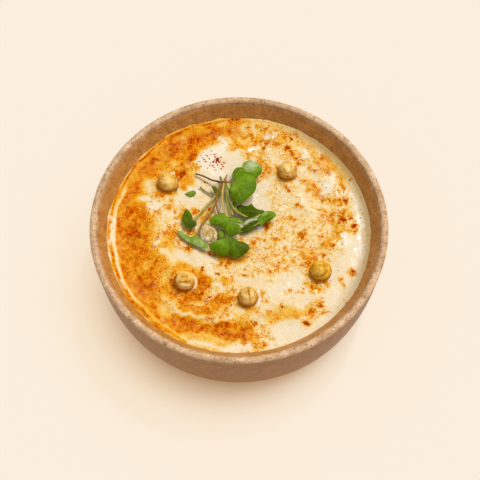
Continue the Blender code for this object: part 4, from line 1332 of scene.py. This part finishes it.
def leafGeometry(values, seed):
    joint, tip, rise, tone, outline = values
    rings, crowding = leafShape["rings"], leafShape["ringCrowding"]
    edge = closedLine(outline, leafShape["outlineSteps"])
    count = len(edge)
    middle = np.mean(outline, axis=0)
    shares = [ring / rings for ring in range(1, rings + 1)]
    outlines = [middle + (edge - middle) * share ** crowding for share in shares]
    flat = np.concatenate([middle[None, :]] + outlines)
    rim = np.concatenate([[0]] + [np.full(count, share) for share in shares])
    along = np.array(tip[:2]) - joint[:2]
    length = np.hypot(*along)
    along = along / length
    u = (flat - joint[:2]) @ along
    v = (flat - joint[:2]) @ np.array([-along[1], along[0]])
    # side veins fan out from a point just behind the joint
    spread, back = leafShape["veinSpread"], u + leafShape["veinsMeet"]
    fan = np.arctan2(v, back) / spread
    fromVein = np.abs(fan - np.round(fan)) * spread * np.hypot(back, v)
    midrib = np.exp(-(v / leafShape["midribWidth"]) ** 2)
    midrib = midrib * (1 - smoothStep(u / length, *leafShape["midribFade"]))
    sideVeins = leafShape["sideVeinDepth"] * np.exp(-(fromVein / leafShape["sideVeinWidth"]) ** 2)
    sideVeins = sideVeins * (1 - smoothStep(rim, *leafShape["sideVeinFade"]))
    midrib, sideVeins = midrib * (u > leafShape["midribFrom"]), sideVeins * (u > leafShape["sideVeinsFrom"])
    vein = np.maximum(midrib, sideVeins)
    height = joint[2] + np.clip(u / length, *leafShape["slopeReach"]) * (tip[2] - joint[2])
    height = height + rise * (1 - rim ** 2) - leafShape["veinSink"] * vein
    height = height + leafShape["wave"] * rim ** 2 * hills(u, v, leafShape["waveSize"], seed)
    top = np.stack([flat[:, 0], flat[:, 1], hummus["level"] + height], 1)
    thinned = 1 - leafShape["thinEdge"] * rim[:, None] ** 4
    under = top - np.array([[0, 0, 1]]) * leafShape["thickness"] * thinned
    total = len(top)
    faces = []
    for base in (0, total):
        first = base + 1
        part = [(base, first + i, first + (i + 1) % count) for i in range(count)]
        for start in range(first, first + (rings - 1) * count, count):
            part += [(start + i, start + count + i, start + count + (i + 1) % count, start + (i + 1) % count)
                     for i in range(count)]
        faces += [face[::-1] for face in part] if base else part
    outer = 1 + (rings - 1) * count
    faces += [(outer + i, total + outer + i, total + outer + (i + 1) % count, outer + (i + 1) % count)
              for i in range(count)]
    shade = np.full(total, float(tone))
    for x, y, radius, change in toneSpots:
        shade += change * np.exp(-((flat[:, 0] - x) ** 2 + (flat[:, 1] - y) ** 2) / radius ** 2)
    # veins hardly show on the dark leaves
    faint = leafShape["faintVein"]
    vein = vein * (faint + (1 - faint) * smoothStep(tone, *leafShape["veinTones"]))
    return np.concatenate([top, under]), faces, np.tile(vein, 2), np.tile(np.clip(shade, 0, 1), 2)


def leafMaterial():
    material, tree, shader = newMaterial("leaf green", {"Roughness": 0.35, "Specular IOR Level": 0.05})
    patches = noiseAt(tree, objectCoordinates(tree), *leafShape["patches"])
    tone = plus(tree, attribute(tree, "tone"), times(tree, minus(tree, patches, 0.5), 0.7), clamp=True)
    green = colourRamp(tree, tone, leafShape["greens"])
    veined = mixColours(tree, times(tree, attribute(tree, "vein"), 0.36), green, leafShape["veinGreen"])
    feed(tree, shader, {"Base Color": veined, "Normal": bump(tree, patches, 0.15, 0.3 * mm)})
    return material


def makeLeaves():
    allPoints, allFaces, veins, tones, start = [], [], [], [], 0
    for number, values in enumerate(leaves.values()):
        points, faces, vein, tone = leafGeometry(values, 200 + 3 * number)
        allPoints.append(points)
        allFaces += [tuple(i + start for i in f) for f in faces]
        veins.append(vein)
        tones.append(tone)
        start += len(points)
    mesh = meshFrom("leaves", np.concatenate(allPoints) * mm, allFaces)
    storeValues(mesh, "vein", np.concatenate(veins))
    storeValues(mesh, "tone", np.concatenate(tones))
    piece = addPiece("leaves", mesh, leafMaterial())
    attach(piece, "root")
    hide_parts("microgreens")


makeLeaves()

# Stems as x, y and lift along the way, radius at the start and end, and a tint: 0 pale straw, 0.42 green and
# 1 red brown
stems = (
    (((-22.4, 32.2, 1.5), (-18.5, 30.4, 2.5), (-14.3, 27.8, 3.2), (-10.9, 26.5, 3.9), (-7.5, 25.4, 4.6)),
        .42, .5, 1),
    (((-10.9, 26.4, 3.7), (-7.5, 25.4, 4.6), (-5.3, 25.1, 5.7), (-2.7, 24.2, 6.7), (1, 22.6, 6.9)),
        .5, .35, .6),
    (((-6.9, 29.4, 3.3), (-7.6, 27.2, 4), (-8, 24.5, 4.6)), .16, .5, .85),
    (((-5.8, 28, 3.3), (-6.9, 26.2, 4), (-7.8, 24.2, 4.3)), .16, .4, .9),
    (((-7.8, 24.9, 4.6), (-8.4, 20.6, 5), (-8.5, 15.4, 5.3), (-8, 10.9, 5.7), (-6.5, 6.2, 6),
        (-5.2, 4.6, 6)), .62, .5, .15),
    (((-7.2, 24.9, 3.9), (-6.6, 20.1, 4.3), (-6.4, 14.9, 4.6), (-5, 9.6, 4.9), (-4.4, 5.3, 4.6)),
        .6, .62, .4),
    (((-8.6, 24.8, 4.3), (-11.3, 19.6, 3.9), (-11.8, 16.3, 3.6), (-11, 10.4, 3.6), (-9.6, 5.9, 3.6)),
        .5, .5, .8),
    (((-8.8, 24.7, 3.9), (-12.7, 17.6, 3.6), (-17.2, 12.3, 3.3), (-23.4, 4.6, 3.2)), .42, .45, .1),
    (((-9.6, 21.6, 3.5), (-13.2, 16.2, 3.2), (-17.8, 10.8, 3), (-23, 4.2, 3)), .3, .34, .3),
    (((-10.5, 18.7, 3.6), (-13.4, 10.6, 3.3), (-18.2, 2.9, 3.1), (-21.1, -3.7, 3)), .5, .48, .7),
    (((-11.2, 18, 3.3), (-14.4, 10.2, 3), (-19, 2.3, 2.9), (-21.6, -3.7, 2.9)), .34, .4, .25),
    (((-6.8, 24.8, 4.3), (-4.5, 19.5, 4.6), (-2.3, 14.1, 4.7), (-1.5, 9.7, 4.4)), .5, .45, .45),
    (((-7, 23.7, 3.7), (-5.4, 17.7, 3.9), (-4, 11.8, 4), (-3.4, 6.8, 4.2)), .34, .34, .1),
    (((-20, 24.7, 1.2), (-17.4, 22.1, 1.5), (-12.8, 18.8, 2.2), (-10, 17.5, 2.9)), .35, .5, .55),
    (((.7, -1.8, 2.1), (5.5, -.4, 3), (9.4, 2, 4.2), (12, 3.5, 4.6)), .34, .36, .3),
    (((-9.6, 29.6, 3), (-9, 26, 3.6), (-9.6, 22, 3.6), (-10.4, 18, 3.4)), .6, .5, .5),
    (((-6.2, 31, 3), (-7, 27, 3.8), (-7.8, 22.6, 3.9)), .3, .5, .7),
    (((-4.4, 14, 4.5), (-2.4, 9.8, 4.7), (.8, 7.2, 4.6), (4.2, 5.6, 4.3)), .75, .65, .34),
    (((-6.6, -1.2, 4.3), (-6, -4.7, 4.8), (-6, -8.1, 4.6), (-6, -11.7, 3.7)), .34, .2, .45),
)
stemShape = {
    "sides": 8,
    "stepLength": 0.5,
    "patches": (500.0, 2.0, 0.6),
    "tints": ((0.0, (0.56, 0.46, 0.13)), (0.2, (0.52, 0.34, 0.09)), (0.42, (0.18, 0.24, 0.02)),
              (0.65, (0.28, 0.17, 0.03)), (0.85, (0.32, 0.11, 0.04)), (1.0, (0.14, 0.045, 0.02))),
}


def stemTree():
    tree, given = newTree("stem tubes", {"Sides": "Int", "Step Length": "Float", "Material": "Material"})
    line = addNode(tree, "GeometryNodeMeshToCurve", {"Mesh": given["Geometry"]})
    smoothLine = addNode(tree, "GeometryNodeCurveSplineType", {"Curve": line}, spline_type="CATMULL_ROM")
    even = addNode(tree, "GeometryNodeResampleCurve", {"Curve": smoothLine, "Length": given["Step Length"]},
        mode="LENGTH")
    ring = addNode(tree, "GeometryNodeCurvePrimitiveCircle", {"Resolution": given["Sides"], "Radius": 1.0})
    thick = addNode(tree, "GeometryNodeInputNamedAttribute", {"Name": "thick"}, data_type="FLOAT")
    tube = addNode(tree, "GeometryNodeCurveToMesh", {"Curve": even, "Profile Curve": ring, "Scale": thick,
        "Fill Caps": True})
    smooth = addNode(tree, "GeometryNodeSetShadeSmooth", {"Geometry": tube})
    return finishTree(tree, smooth, given["Material"])


def stemMaterial():
    material, tree, shader = newMaterial("stem tints", {"Roughness": 0.35, "Specular IOR Level": 0.06})
    patches = noiseAt(tree, objectCoordinates(tree), *stemShape["patches"])
    tone = plus(tree, attribute(tree, "tone"), times(tree, minus(tree, patches, 0.5), 0.5), clamp=True)
    feed(tree, shader, {"Base Color": colourRamp(tree, tone, stemShape["tints"])})
    return material


def makeStems():
    points, edges, thick, tones = [], [], [], []
    for route, first, last, tone in stems:
        start = len(points)
        points += [(x * mm, y * mm, (hummus["level"] + lift) * mm) for x, y, lift in route]
        edges += [(start + i, start + i + 1) for i in range(len(route) - 1)]
        thick += list(np.linspace(first, last, len(route)) * mm)
        tones += [tone] * len(route)
    mesh = bpy.data.meshes.new("stem routes")
    mesh.from_pydata(points, edges, [])
    storeValues(mesh, "thick", thick)
    storeValues(mesh, "tone", tones)
    tubes = runTree("stems", stemTree(), {"Sides": stemShape["sides"],
        "Step Length": stemShape["stepLength"] * mm, "Material": stemMaterial()}, mesh)
    piece = addPiece("stems", tubes, None)
    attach(piece, "root")
    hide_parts("microgreens")


makeStems()
